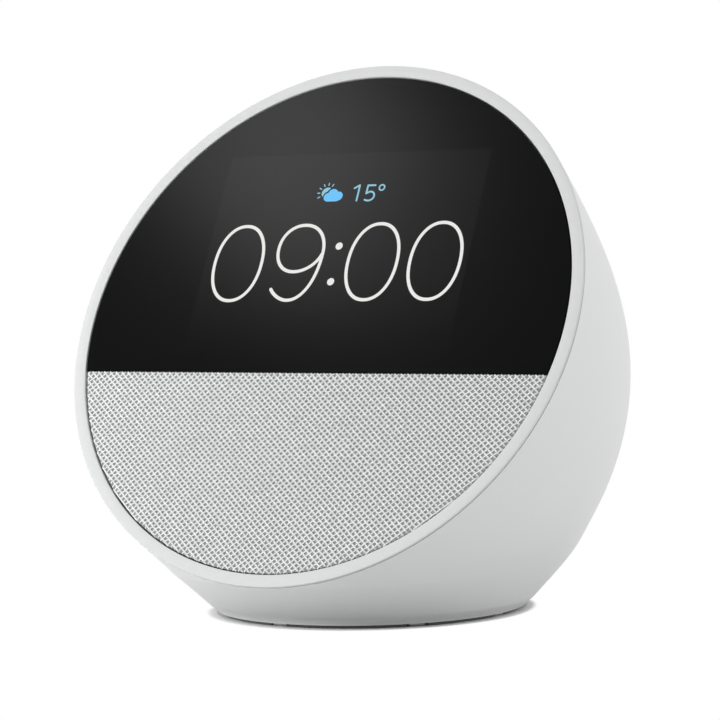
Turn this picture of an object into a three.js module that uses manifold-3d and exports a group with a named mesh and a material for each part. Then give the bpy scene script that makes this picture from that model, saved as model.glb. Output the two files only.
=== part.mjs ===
// Smart alarm clock: a round housing whose flat circular face leans back over a round foot.
// Millimetres, +Z up, face towards -Y, origin on the table under the middle of the housing.
import * as THREE from "three";
import { ParametricGeometry } from "three/addons/geometries/ParametricGeometry.js";
import { mergeVertices } from "three/addons/utils/BufferGeometryUtils.js";
import Module from "manifold-3d";

const wasm = await Module();
wasm.setup();

// Housing form
const rimRadius = 56.5; // outer edge of the face
const faceLean = THREE.MathUtils.degToRad(27.8); // lean of the face from upright
const rimLift = 9.6; // lowest point of the rim above the table
const depthRatio = 1.25; // depth over width of each half of a level section
const lowBackRatio = 0.92; // the same for the back half at the lowest point of the rim
const spineShares = [0.382, 0.122, 0.028, -0.694];
const spine = spineShares.map((share) => share * rimRadius); // Bezier line of section centres, low to high
const footCentre = 0.313 * rimRadius; // centre of the foot behind the face centre
const wall = 2.2; // housing wall
const lip = 1.0; // thinned wall round the face opening

// Fits
const clearance = 0.3; // between pieces that touch
const seam = 0.25; // visible line between rim ring and housing

// Foot
const padRadius = 30.2; // outer edge of the rubber pads
const padWidth = 5.0;
const padThickness = 1.1;
const padCount = 8;
const padGap = 3.8; // space between pads along their middle
const frontGaps = [-96.3, -43, -3.5].map(THREE.MathUtils.degToRad); // gaps seen from the front right
const baseThickness = 1.3;
const baseMargin = 0.2; // base plate past the pads
const ribLift = 0.5; // underside of the ribs above the table
const edgeLift = 0.7; // underside of the housing edge above the table
const edgeWall = 0.6;
const edgeBevel = 1.7; // outward step of the bevel along the housing edge
const bevelHeight = 1.5;
const floorThickness = 2.2;
const hatchRadius = 20.0; // opening in the housing floor above the base plate
const spigotHeight = 1.5; // part of the base plate that enters the opening
const spigotWall = 2.0;

// Face
const rimWidth = 2.5; // visible width of the rim ring
const flangeDepth = 0.8; // depth of the rim ring in front of the seam
const rimChamfer = 0.4;
const chordHeight = -0.2106 * rimRadius; // line between glass and cloth, up the face from its centre
const faceRecess = 0.1; // glass and cloth below the rim ring
const lensThickness = 1.1;
const gasketThickness = 0.4;
const ledgeWidth = 2.5; // ledge of the rim ring behind glass and cloth
const ledgeThickness = 1.0;
const barHeight = 4.2; // bar of the rim ring under the chord
const clothThickness = 0.5;
const soundHoleRadius = 1.9;
const soundHolePitch = 6.4;

// Display
const displayWidth = 1.168 * rimRadius;
const displayLift = 1.2; // lower edge above the chord
const displayMargin = 1.0; // from the display corners to the ledge
const panelThickness = 1.4;
const backlightThickness = 2.0;
const trayWall = 1.0;
const trayFloor = 1.4;
const ribbonWidth = 14.0;
const ribbonThickness = 0.3;
const ribbonRun = 6.0; // straight length of each end of the ribbon

// Chassis
const chassisThickness = 2.2;
const postRadius = 2.4;
const postReach = 8.2; // board posts behind the chassis
const postInset = 2.9; // posts beside the display tray
const postSpacing = 28.0;
const bossRadius = 3.0;
const bossDepth = 5.0;
const bossInset = 5.5; // boss centres inside the rim
const bossAngles = [62, 118, 232, 308].map(THREE.MathUtils.degToRad);
const screwRadius = 1.1;

// Boards
const boardThickness = 1.6;
const boardHeight = 40.0;
const boardMargin = 3.0; // board edge past the posts
const shieldSide = 26.0;
const shieldHeight = 2.5;
const shieldWall = 0.4;
const spreaderWidth = 58.0;
const spreaderHeight = 34.0;
const spreaderThickness = 1.5;
const finCount = 7;
const finHeight = 3.0;
const finThickness = 1.2;

// Loudspeaker, in shares of the basket where it grows with it
const basketMargin = 0.8; // from the basket to the edges of the cloth
const basketWall = 1.0;
const basketFlange = 1.2; // thickness of the mounting flange
const basketLip = 2.5; // width of the mounting flange
const basketDepthShare = 0.515;
const basketBackShare = 0.75;
const basketWindows = 4;
const windowShare = 0.6;
const coneShare = 0.625;
const coneDepthShare = 0.2;
const coneSetback = 1.5; // cone edge behind the flange front
const coneThickness = 0.6;
const capRise = 2.0; // height of the dust cap
const coilShare = 0.315;
const coilWall = 0.6;
const coilLengthShare = 0.465;
const rollHeight = 1.8; // crown of the surround
const rollThickness = 0.5;
const spiderWaves = 2;
const spiderRise = 0.4;
const coilGap = 0.6; // air gap on each side of the coil
const coilPass = 1.5; // space round the coil where it passes the basket
const plateShare = 0.675;
const plateThickness = 2.5;
const magnetShare = 0.725;
const magnetBoreShare = 0.45;
const magnetHeightShare = 0.25;
const yokeThickness = 2.0;
const speakerGasket = 0.4;
const leadRadius = 0.7;
const leadSpacing = 4.0;

// Controls
const buttonShare = 0.8243; // height of the buttons between the low and high points of the rim
const buttonPitch = 15.0;
const buttonRadius = 5.5;
const buttonProud = 0.4; // cap above the housing
const collarWidth = 0.9; // collar that keeps the cap in the housing
const collarThickness = 1.2;
const stemRadius = 1.8;
const switchSide = 6.0;
const switchHeight = 3.0;
const plungerRadius = 1.6;
const plungerHeight = 1.2; // plunger above the switch
const plungerSink = 1.0; // plunger inside the switch
const switchTravel = 0.9; // free depth under the plunger
const controlDepth = 11.0; // button board below the housing surface
const controlPost = 2.0; // radius of the posts that carry the board
const controlEdge = 1.0; // board past its posts
const controlBack = 10.0; // board behind the button axes
const controlFront = 7.0; // board in front of the button axes
const micSide = 7.5;
const micBack = 6.5;
const micRadius = 2.4;
const micBore = 0.7;
const pinhole = 0.6;

// Power inlet
const inletShare = 0.2008; // height of the inlet over the height of the rim's top
const inletRadius = 6.0;
const inletDepth = 7.0;
const inletWall = 1.6;
const jackWidth = 9.6;
const jackHeight = 11.0;
const jackLength = 13.5;
const jackNose = 3.2;
const jackBore = 2.7;
const jackBoreDepth = 9.0;
const jackPin = 1.0;
const jackPinLength = 7.0;
const cableRadius = 1.4;
const cableRun = 5.6; // straight start of the lead at the jack
const cableDrop = 13.0; // lead below the board where it turns up

// Facets
const aroundSteps = 44;
const levelSteps = 13;
const ringSides = 32;
const speakerSides = 20;
const smallSides = 16;
const tinySides = 8;
const tubeSteps = 12;
const tubeSides = 4; // per half turn

// Worked-out heights and depths of the face
const leanSine = Math.sin(faceLean);
const leanCosine = Math.cos(faceLean);
const faceHeight = rimLift + rimRadius * leanCosine;
const rimTop = faceHeight + rimRadius * leanCosine;
const buttonHeight = THREE.MathUtils.lerp(rimLift, rimTop, buttonShare);
const inletHeight = inletShare * rimTop;
const reach = 4 * rimRadius; // larger than the object, for cutting blocks
const standOut = rimRadius / 2; // length of a cutting drum outside the housing
const pocketRadius = rimRadius - rimWidth;
const insertRadius = pocketRadius - clearance;
const ledgeRadius = pocketRadius - ledgeWidth;
const lensBack = faceRecess + lensThickness;
const gasketBack = lensBack + clearance + gasketThickness;
const ledgeFront = gasketBack + clearance;
const ledgeBack = ledgeFront + ledgeThickness;
const chassisFront = ledgeBack + clearance;
const chassisBack = chassisFront + chassisThickness;
const boardFront = chassisBack + postReach + clearance;
const boardBack = boardFront + boardThickness;
const floorLift = padThickness + baseThickness + 2 * clearance;
const floorTop = floorLift + floorThickness;
const recessRadius = padRadius + baseMargin + clearance;

// Level section of the housing at a height, with its centre given behind the face centre.
// Above the rim's lowest point it is two half ellipses, front and back, through the rim circle.
function rimSection(height) {
  const share = (height - rimLift) / (rimTop - rimLift);
  const rest = 1 - share;
  const weights = [rest ** 3, 3 * share * rest ** 2, 3 * share ** 2 * rest, share ** 3];
  const centre = weights.reduce((sum, weight, index) => sum + weight * spine[index], 0);
  const rise = height - faceHeight;
  const chord = Math.max(rimRadius ** 2 - (rise / leanCosine) ** 2, 0);
  const halfWidth = Math.sqrt(chord + ((rise * Math.tan(faceLean) - centre) / depthRatio) ** 2);
  const backRatio = depthRatio - (depthRatio - lowBackRatio) * rest ** 4;
  return { height, centre, halfWidth, front: halfWidth * depthRatio, back: halfWidth * backRatio };
}

// Under the rim the section tapers to a circle round the foot and ends in a bevelled edge.
function footSection(height) {
  const edgeRadius = recessRadius + edgeWall;
  const bevelTop = edgeLift + bevelHeight;
  const low = rimSection(rimLift);
  if (height <= bevelTop) {
    const radius = edgeRadius + (edgeBevel * (height - edgeLift)) / bevelHeight;
    return { height, centre: footCentre, halfWidth: radius, front: radius, back: radius };
  }
  const mix = (from, to) => THREE.MathUtils.mapLinear(height, bevelTop, rimLift, from, to);
  const radius = edgeRadius + edgeBevel;
  return {
    height,
    centre: mix(footCentre, low.centre),
    halfWidth: mix(radius, low.halfWidth),
    front: mix(radius, low.front),
    back: mix(radius, low.back),
  };
}

const section = (height) => (height < rimLift ? footSection(height) : rimSection(height));
const backAt = (height) => section(height).centre + section(height).back;

// Levels at equal steps round the rim, so that the face is cut to a true circle.
const rimLevels = Array.from(
  { length: levelSteps + 1 },
  (_, step) => faceHeight - rimRadius * leanCosine * Math.cos((Math.PI * step) / levelSteps),
);
const deepest = Math.max(...rimLevels.map(backAt));
const faceSetback = (rimRadius * leanSine - deepest) / 2; // puts the origin under the middle
const faceFrame = new THREE.Matrix4()
  .makeRotationX(Math.PI / 2 - faceLean)
  .setPosition(0, faceSetback, faceHeight);

// Closed geometry to a solid for cutting, and back
function toSolid(geometry, frame = new THREE.Matrix4()) {
  const bare = geometry.clone().applyMatrix4(frame);
  bare.deleteAttribute("normal");
  bare.deleteAttribute("uv");
  const welded = mergeVertices(bare);
  const corners = welded.index.array;
  const kept = [];
  for (let at = 0; at < corners.length; at += 3) {
    const [a, b, c] = corners.slice(at, at + 3);
    if (a !== b && b !== c && c !== a) kept.push(a, b, c);
  }
  const vertProperties = new Float32Array(welded.attributes.position.array);
  return new wasm.Manifold(new wasm.Mesh({ numProp: 3, vertProperties, triVerts: new Uint32Array(kept) }));
}

function toGeometry(solid) {
  const { vertProperties, triVerts } = solid.getMesh();
  const geometry = new THREE.BufferGeometry();
  geometry.setAttribute("position", new THREE.BufferAttribute(new Float32Array(vertProperties), 3));
  geometry.setIndex(new THREE.BufferAttribute(new Uint32Array(triVerts), 1));
  geometry.computeVertexNormals();
  return geometry;
}

const joined = (...solids) => solids.reduce((sum, solid) => sum.add(solid));
const cut = (solid, ...tools) => tools.reduce((rest, tool) => rest.subtract(tool), solid);

// Housing form shrunk by an inset, from a floor height upwards, placed in a frame
function housing(inset, floor, frame) {
  const lower = [edgeLift, edgeLift + bevelHeight, (edgeLift + bevelHeight + rimLift) / 2];
  const heights = [floor, ...lower.filter((height) => height > floor), ...rimLevels];
  const levels = heights.map(section);
  const last = levels.length + 1;
  const surface = (around, up, target) => {
    const step = Math.round(up * last);
    const level = levels[Math.min(Math.max(step - 1, 0), levels.length - 1)];
    const open = step === 0 || step === last ? 0 : 1;
    const angle = 2 * Math.PI * around;
    const depth = around > 0.5 ? level.front : level.back;
    target.x = open * (level.halfWidth - inset) * Math.cos(angle);
    target.y = faceSetback + level.centre + open * (depth - inset) * Math.sin(angle);
    target.z = level.height;
  };
  return toSolid(new ParametricGeometry(surface, aroundSteps, last), frame);
}

// Shapes in a frame whose Z axis points out of a surface, placed by depth below that surface
function block(width, height, near, far, x = 0, y = 0) {
  return new THREE.BoxGeometry(width, height, far - near).translate(x, y, -(near + far) / 2);
}

function drum(radius, near, far, x = 0, y = 0, sides = ringSides) {
  const shaft = new THREE.CylinderGeometry(radius, radius, far - near, sides);
  return shaft.rotateX(Math.PI / 2).translate(x, y, -(near + far) / 2);
}

function plate(outline, near, far, sides = ringSides) {
  const options = { depth: far - near, bevelEnabled: false, curveSegments: sides };
  return new THREE.ExtrudeGeometry(outline, options).translate(0, 0, -far);
}

// Ring from a closed profile of [radius, depth] points, listed from the front outwards and back
function revolve(profile, sides = speakerSides) {
  const points = [...profile, profile[0]].map(([radius, depth]) => new THREE.Vector2(radius, -depth));
  return new THREE.LatheGeometry(points.reverse(), sides).rotateX(Math.PI / 2);
}

function tube(points, radius) {
  const outline = new THREE.Shape().absarc(0, 0, radius, 0, 2 * Math.PI);
  const extrudePath = new THREE.CatmullRomCurve3(points);
  return new THREE.ExtrudeGeometry(outline, { steps: tubeSteps, curveSegments: tubeSides, extrudePath });
}

const slab = (near, far) => toSolid(block(reach, reach, near, far));
const finish = (color, roughness, metalness = 0) =>
  new THREE.MeshStandardMaterial({ color, roughness, metalness });

const whitePlastic = finish(0xe4e6e5, 0.5);
const rimPlastic = finish(0xe8eaea, 0.4);
const greyPlastic = finish(0xb9bcbb, 0.6);
const blackPlastic = finish(0x26282a, 0.5);
const blackGlass = finish(0x0b0c0d, 0.06);
const cloth = finish(0xd5d8d8, 0.9);
const rubber = finish(0x3a3c3d, 0.85);
const foam = finish(0x2c2d2e, 0.95);
const panelGlass = finish(0x15181c, 0.2);
const lightGuide = finish(0xf2f4f4, 0.4);
const circuit = finish(0x1f5a3a, 0.5);
const steel = finish(0xb8babc, 0.35, 0.9);
const aluminium = finish(0xc9cbcd, 0.4, 0.9);
const ferrite = finish(0x3b3b3d, 0.7);
const copper = finish(0xb6703c, 0.4, 0.9);
const paper = finish(0x2a2b2c, 0.9);
const amber = finish(0xb9852e, 0.5);

const clock = new THREE.Group();
const face = new THREE.Group();
face.applyMatrix4(faceFrame);
clock.add(face);

function addPart(parent, name, shape, material) {
  const geometry = shape instanceof THREE.BufferGeometry ? shape : toGeometry(shape);
  const mesh = new THREE.Mesh(geometry, material);
  mesh.name = name;
  parent.add(mesh);
}

// The housing form seen from the face and from the buttons
const faceView = faceFrame.clone().invert();
const housingAtFace = (inset) => housing(inset, floorTop, faceView);
const slope = (backAt(buttonHeight + 1) - backAt(buttonHeight - 1)) / 2;
const buttonAxis = new THREE.Vector3(0, 1, -slope).normalize();
const buttonFrame = new THREE.Matrix4()
  .makeBasis(
    new THREE.Vector3(1, 0, 0),
    new THREE.Vector3(0, buttonAxis.z, -buttonAxis.y),
    buttonAxis,
  )
  .setPosition(0, faceSetback + backAt(buttonHeight), buttonHeight);
const buttonView = buttonFrame.clone().invert();
const buttonNames = ["volume_down", "mic_mute", "volume_up"];
const buttonPlaces = buttonNames.map((_, index) => (index - 1) * buttonPitch);
const collarRadius = buttonRadius + collarWidth;
const controlPostSide = buttonPitch + collarRadius + 2 * clearance + controlPost;
const controlWidth = 2 * (controlPostSide + controlPost + controlEdge);
const controls = new THREE.Group();
controls.applyMatrix4(buttonFrame);
clock.add(controls);

// Screw bosses stand on the wall behind the chassis
const bossRing = rimRadius - bossInset;
const bossPlaces = bossAngles.map((angle) => [bossRing * Math.cos(angle), bossRing * Math.sin(angle)]);

function bossSolid(angle) {
  const near = chassisBack + clearance;
  const far = near + bossDepth;
  const rib = block(2 * bossRadius, 2 * bossInset, near, far, 0, bossRing + bossInset);
  const turn = new THREE.Matrix4().makeRotationZ(angle - Math.PI / 2);
  const round = drum(bossRadius, near, far, 0, bossRing, smallSides);
  const body = joined(toSolid(rib, turn), toSolid(round, turn));
  return cut(body, toSolid(drum(screwRadius, near - 1, far - 1, 0, bossRing, tinySides), turn));
}

// Inlet cup: a round recess in the back of the housing with the jack behind its floor
const inletFrame = new THREE.Matrix4()
  .makeRotationX(-Math.PI / 2)
  .setPosition(0, faceSetback + backAt(inletHeight), inletHeight);
const inlet = new THREE.Group();
inlet.applyMatrix4(inletFrame);
clock.add(inlet);
const cupBack = inletDepth + inletWall;

function makeRearShell() {
  const inFace = (solid) => toSolid(toGeometry(solid), faceFrame);
  const outside = housing(0, edgeLift).intersect(inFace(slab(flangeDepth + seam, reach)));
  const cavity = housing(wall, floorTop).intersect(inFace(slab(chassisFront, reach)));
  const opening = housing(lip, floorTop).intersect(inFace(slab(0, chassisFront + clearance)));
  const footFrame = new THREE.Matrix4().setPosition(0, faceSetback + footCentre, 0);
  const recess = toSolid(drum(recessRadius, -floorLift, 1), footFrame);
  const hatch = toSolid(drum(hatchRadius, -floorTop - 1, 0), footFrame);
  const bosses = bossAngles.map((angle) => inFace(bossSolid(angle)));
  const cup = toSolid(drum(inletRadius + inletWall, -1, cupBack, 0, 0, smallSides), inletFrame);
  const posts = [-1, 1].map((side) => {
    const post = drum(controlPost, 0, controlDepth - clearance, side * controlPostSide, 0, tinySides);
    return toSolid(post, buttonFrame);
  });
  const inner = joined(cup, ...bosses, ...posts).intersect(housing(lip, floorTop));
  const holeRadius = buttonRadius + clearance;
  const holes = buttonPlaces.map((x) => drum(holeRadius, -standOut, controlDepth, x, 0, smallSides));
  const pinholes = [-micSide, micSide].map((x) =>
    drum(pinhole, -standOut, controlDepth, x, micBack, tinySides),
  );
  return cut(
    cut(outside, cavity, opening).add(inner),
    recess,
    hatch,
    toSolid(drum(inletRadius, -standOut, inletDepth, 0, 0, smallSides), inletFrame),
    toSolid(drum(jackNose + clearance, 0, cupBack + 1, 0, 0, smallSides), inletFrame),
    ...[...holes, ...pinholes].map((hole) => toSolid(hole, buttonFrame)),
  );
}
addPart(clock, "rear_shell", makeRearShell(), whitePlastic);

// Rim ring: a flange that shows, a skirt inside the housing and a ledge behind the inserts
function makeFrontBezel() {
  const chamferProfile = [
    [0, 0],
    [rimRadius - rimChamfer, 0],
    [rimRadius, rimChamfer],
    [rimRadius + wall, rimChamfer],
    [rimRadius + wall, chassisFront],
    [0, chassisFront],
  ];
  const chamfer = revolve(chamferProfile, ringSides);
  const flange = housingAtFace(0).intersect(slab(0, flangeDepth)).intersect(toSolid(chamfer));
  const skirt = housingAtFace(lip + clearance).intersect(slab(flangeDepth / 2, ledgeBack));
  const barTop = chordHeight - clearance;
  const bar = block(2 * pocketRadius, barHeight, ledgeFront, ledgeBack, 0, barTop - barHeight / 2);
  const ring = cut(
    flange.add(skirt),
    toSolid(drum(pocketRadius, -1, ledgeFront)),
    toSolid(drum(ledgeRadius, 0, ledgeBack + 1)),
  );
  return ring.add(toSolid(bar).intersect(toSolid(drum(pocketRadius, ledgeFront, ledgeBack))));
}
addPart(face, "front_bezel", makeFrontBezel(), rimPlastic);

// Glass above the chord and cloth below it
function segment(radius, chord, upper) {
  const rise = Math.asin(chord / radius);
  const [from, to] = upper ? [rise, Math.PI - rise] : [Math.PI - rise, 2 * Math.PI + rise];
  return new THREE.Shape().absarc(0, 0, radius, from, to);
}
const glassChord = chordHeight + clearance / 2;
const clothChord = chordHeight - clearance / 2;
const glassOutline = segment(insertRadius, glassChord, true);
addPart(face, "display_lens", plate(glassOutline, faceRecess, lensBack), blackGlass);

function makeDisplayGasket() {
  const band = new THREE.Shape();
  const outer = Math.asin(glassChord / insertRadius);
  const inner = Math.asin(glassChord / ledgeRadius);
  band.absarc(0, 0, insertRadius, outer, Math.PI - outer);
  band.absarc(0, 0, ledgeRadius, Math.PI - inner, inner, true);
  return plate(band, lensBack + clearance, gasketBack, smallSides);
}
addPart(face, "display_gasket", makeDisplayGasket(), foam);

const clothBack = faceRecess + clothThickness;
const clothOutline = segment(insertRadius, clothChord, false);
addPart(face, "grille_fabric", plate(clothOutline, faceRecess, clothBack), cloth);

// The loudspeaker fills the lower segment and sits in its middle
const speakerHeight = (clothChord - insertRadius) / 2;
const basketRadius = (clothChord + insertRadius) / 2 - basketMargin;
const basketDepth = basketDepthShare * basketRadius;
const basketBackRadius = basketBackShare * basketRadius;
const windowWidth = windowShare * basketRadius;
const coneRadius = coneShare * basketRadius;
const coneDepth = coneDepthShare * basketRadius;
const coilRadius = coilShare * basketRadius;
const coilLength = coilLengthShare * basketRadius;
const plateRadius = plateShare * basketRadius;
const magnetRadius = magnetShare * basketRadius;
const magnetBore = magnetBoreShare * basketRadius;
const magnetHeight = magnetHeightShare * basketRadius;
const soundRadius = basketRadius - 2 * basketWall - clearance;

function makeGrillePanel() {
  const outline = segment(insertRadius, clothChord, false);
  const rowStep = (soundHolePitch * Math.sqrt(3)) / 2;
  const rows = Math.floor(soundRadius / rowStep);
  const inside = soundRadius - soundHoleRadius;
  for (let row = -rows; row <= rows; row += 1) {
    const shift = (Math.abs(row) % 2) * (soundHolePitch / 2);
    for (let x = shift - soundHolePitch * rows; x <= soundRadius; x += soundHolePitch) {
      if (Math.hypot(x, row * rowStep) > inside) continue;
      const y = speakerHeight + row * rowStep;
      const circle = new THREE.EllipseCurve(x, y, soundHoleRadius, soundHoleRadius);
      outline.holes.push(new THREE.Path(circle.getPoints(tinySides)));
    }
  }
  return plate(outline, clothBack + clearance, gasketBack);
}
addPart(face, "grille_panel", makeGrillePanel(), blackPlastic);

// Display behind the glass: its upper corners stay inside the ledge
const displayBottom = chordHeight + displayLift;
const cornerRadius = ledgeRadius - displayMargin;
const displayTop = Math.sqrt(cornerRadius ** 2 - (displayWidth / 2) ** 2);
const displayHeight = displayTop - displayBottom;
const displayMiddle = (displayTop + displayBottom) / 2;
const panelFront = lensBack + clearance;
const panelBack = panelFront + panelThickness;
const backlightBack = panelBack + clearance + backlightThickness;
const trayBack = backlightBack + clearance + trayFloor;
const trayWidth = displayWidth + 2 * (clearance + trayWall);
const trayHeight = displayHeight + 2 * (clearance + trayWall);
const panel = block(displayWidth, displayHeight, panelFront, panelBack, 0, displayMiddle);
const backlight = block(displayWidth, displayHeight, panelBack + clearance, backlightBack, 0, displayMiddle);
addPart(face, "lcd_panel", panel, panelGlass);
addPart(face, "backlight_panel", backlight, lightGuide);

function makeDisplayTray() {
  const outside = block(trayWidth, trayHeight, chassisFront, trayBack, 0, displayMiddle);
  const pocketWidth = trayWidth - 2 * trayWall;
  const pocketHeight = trayHeight - 2 * trayWall;
  const pocket = block(pocketWidth, pocketHeight, 0, trayBack - trayFloor, 0, displayMiddle);
  const slot = block(ribbonWidth, 2 * ribbonThickness, 0, trayBack + 1, 0, displayMiddle);
  return cut(toSolid(outside), toSolid(pocket), toSolid(slot));
}
addPart(face, "display_tray", makeDisplayTray(), blackPlastic);

// Ribbon from the tray round to the main board
function makeDisplayRibbon() {
  const near = trayBack + clearance;
  const far = boardFront - clearance;
  const radius = (far - near) / 2;
  const low = displayMiddle - ribbonRun;
  const path = new THREE.Shape();
  path.moveTo(near, displayMiddle);
  path.lineTo(near, low);
  path.absarc(near + radius, low, radius, Math.PI, 2 * Math.PI);
  path.lineTo(far, displayMiddle);
  path.lineTo(far - ribbonThickness, displayMiddle);
  path.absarc(near + radius, low, radius - ribbonThickness, 2 * Math.PI, Math.PI, true);
  path.lineTo(near + ribbonThickness, displayMiddle);
  const options = { depth: ribbonWidth, bevelEnabled: false, curveSegments: tinySides };
  const strip = new THREE.ExtrudeGeometry(path, options);
  return strip.translate(0, 0, -ribbonWidth / 2).rotateY(Math.PI / 2);
}
addPart(face, "display_ribbon", makeDisplayRibbon(), amber);

// Chassis plate across the housing
const postSide = trayWidth / 2 + postInset;
const postPlaces = [-1, 1].flatMap((side) =>
  [-1, 1].map((end) => [side * postSide, displayMiddle + (end * postSpacing) / 2]),
);

function makeInnerChassis() {
  const disc = housingAtFace(wall + clearance).intersect(slab(chassisFront, chassisBack));
  const window = block(
    trayWidth + 2 * clearance,
    trayHeight + 2 * clearance,
    0,
    chassisBack + 1,
    0,
    displayMiddle,
  );
  const speakerHole = drum(soundRadius, 0, chassisBack + 1, 0, speakerHeight);
  const posts = postPlaces.map(([x, y]) =>
    toSolid(drum(postRadius, chassisFront, chassisBack + postReach, x, y, tinySides)),
  );
  const screwHoles = bossPlaces.map(([x, y]) =>
    toSolid(drum(screwRadius, 0, chassisBack + 1, x, y, tinySides)),
  );
  return cut(disc, toSolid(window), toSolid(speakerHole), ...screwHoles).add(joined(...posts));
}
addPart(face, "inner_chassis", makeInnerChassis(), greyPlastic);

// Main board behind the display, trimmed to the housing
const boardWidth = 2 * (postSide + boardMargin);

function makeMainBoard() {
  const room = housingAtFace(wall + 2 * clearance);
  return room.intersect(toSolid(block(boardWidth, boardHeight, boardFront, boardBack, 0, displayMiddle)));
}
addPart(face, "main_board", makeMainBoard(), circuit);

const shieldFront = boardBack + clearance;
const shieldBack = shieldFront + shieldHeight;

function makeShield() {
  const inner = shieldSide - 2 * shieldWall;
  const can = block(shieldSide, shieldSide, shieldFront, shieldBack, 0, displayMiddle);
  return cut(toSolid(can), toSolid(block(inner, inner, 0, shieldBack - shieldWall, 0, displayMiddle)));
}
addPart(face, "processor_shield", makeShield(), steel);

function makeHeatSpreader() {
  const near = shieldBack + clearance;
  const far = near + spreaderThickness;
  const sheet = block(spreaderWidth, spreaderHeight, near, far, 0, displayMiddle);
  const finPitch = (spreaderWidth - finThickness) / (finCount - 1);
  const fins = Array.from({ length: finCount }, (_, index) => {
    const x = (index - (finCount - 1) / 2) * finPitch;
    return toSolid(block(finThickness, spreaderHeight, near, far + finHeight, x, displayMiddle));
  });
  return joined(toSolid(sheet), ...fins);
}
addPart(face, "heat_spreader", makeHeatSpreader(), aluminium);

// Loudspeaker, on its own axis behind the cloth
const speaker = new THREE.Group();
speaker.position.set(0, speakerHeight, 0);
face.add(speaker);
const gasketFront = chassisBack + clearance;
const basketFront = gasketFront + speakerGasket + clearance;
const flangeBack = basketFront + basketFlange;
const basketBack = basketFront + basketDepth;
const throatRadius = basketRadius - basketLip;
addPart(
  speaker,
  "speaker_gasket",
  revolve([
    [soundRadius + clearance, gasketFront],
    [basketRadius, gasketFront],
    [basketRadius, gasketFront + speakerGasket],
    [soundRadius + clearance, gasketFront + speakerGasket],
  ]),
  foam,
);

function makeBasket() {
  const rimInner = coilRadius + coilPass;
  const cup = revolve([
    [throatRadius, basketFront],
    [basketRadius, basketFront],
    [basketRadius, flangeBack],
    [throatRadius + basketWall, flangeBack],
    [basketBackRadius, basketBack],
    [rimInner, basketBack],
    [rimInner, basketBack - basketWall],
    [basketBackRadius - basketWall, basketBack - basketWall],
    [throatRadius, flangeBack + basketWall],
  ]);
  const windows = Array.from({ length: basketWindows }, (_, index) => {
    const turn = new THREE.Matrix4().makeRotationZ((Math.PI * (2 * index + 1)) / basketWindows);
    const near = flangeBack + basketWall;
    const far = basketBack - 2 * basketWall;
    const opening = block(windowWidth, basketRadius, near, far, 0, basketRadius);
    return toSolid(opening, turn);
  });
  return cut(toSolid(cup), ...windows);
}
addPart(speaker, "speaker_basket", makeBasket(), blackPlastic);

const coneFront = basketFront + coneSetback;
const coneBack = coneFront + coneDepth;
const neckRadius = coilRadius + clearance;
addPart(
  speaker,
  "speaker_cone",
  revolve([
    [neckRadius, coneBack],
    [coneRadius, coneFront],
    [coneRadius, coneFront + coneThickness],
    [neckRadius, coneBack + coneThickness],
  ]),
  paper,
);

// Half roll between the cone and the basket
function makeSurround() {
  const inner = coneRadius + clearance;
  const outer = throatRadius - clearance;
  const middle = (inner + outer) / 2;
  const half = (outer - inner) / 2;
  const base = coneFront + coneThickness;
  const steps = 5;
  const arc = (radius, height) =>
    Array.from({ length: steps + 1 }, (_, step) => {
      const angle = (Math.PI * step) / steps;
      return [middle - radius * Math.cos(angle), base - height * Math.sin(angle)];
    });
  const outside = arc(half, rollHeight);
  const inside = arc(half - rollThickness, rollHeight - rollThickness);
  return revolve([...outside, ...inside.reverse()]);
}
addPart(speaker, "speaker_surround", makeSurround(), rubber);

const coilFront = coneBack;
const capRadius = coilRadius - clearance / 2;

function makeDustCap() {
  const steps = 5;
  const base = coilFront - clearance;
  const dome = (radius, rise) =>
    Array.from({ length: steps + 1 }, (_, step) => {
      const angle = (Math.PI * step) / (2 * steps);
      return [radius * Math.sin(angle), base - rise * Math.cos(angle)];
    });
  const outside = dome(capRadius, capRise);
  const inside = dome(capRadius - coneThickness, capRise - coneThickness);
  return revolve([...outside, ...inside.reverse()], smallSides);
}
addPart(speaker, "speaker_dust_cap", makeDustCap(), paper);

const coilBack = coilFront + coilLength;
addPart(
  speaker,
  "speaker_voice_coil",
  revolve(
    [
      [coilRadius - coilWall, coilFront],
      [coilRadius, coilFront],
      [coilRadius, coilBack],
      [coilRadius - coilWall, coilBack],
    ],
    smallSides,
  ),
  copper,
);

// Corrugated disc that centres the coil
function makeSpider() {
  const inner = coilRadius + clearance;
  const depth = (coneBack + basketBack) / 2;
  const top = flangeBack + basketWall;
  const bottom = basketBack - basketWall;
  const narrow = basketBackRadius - basketWall;
  const wallRadius = THREE.MathUtils.mapLinear(depth, top, bottom, throatRadius, narrow);
  const outer = wallRadius - 2 * clearance;
  const steps = 3 * spiderWaves;
  const wave = (offset) =>
    Array.from({ length: steps + 1 }, (_, step) => {
      const share = step / steps;
      const swing = spiderRise * Math.sin(2 * Math.PI * spiderWaves * share);
      return [inner + (outer - inner) * share, depth + offset + swing];
    });
  return revolve([...wave(0), ...wave(rollThickness).reverse()]);
}
addPart(speaker, "speaker_spider", makeSpider(), amber);

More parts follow.
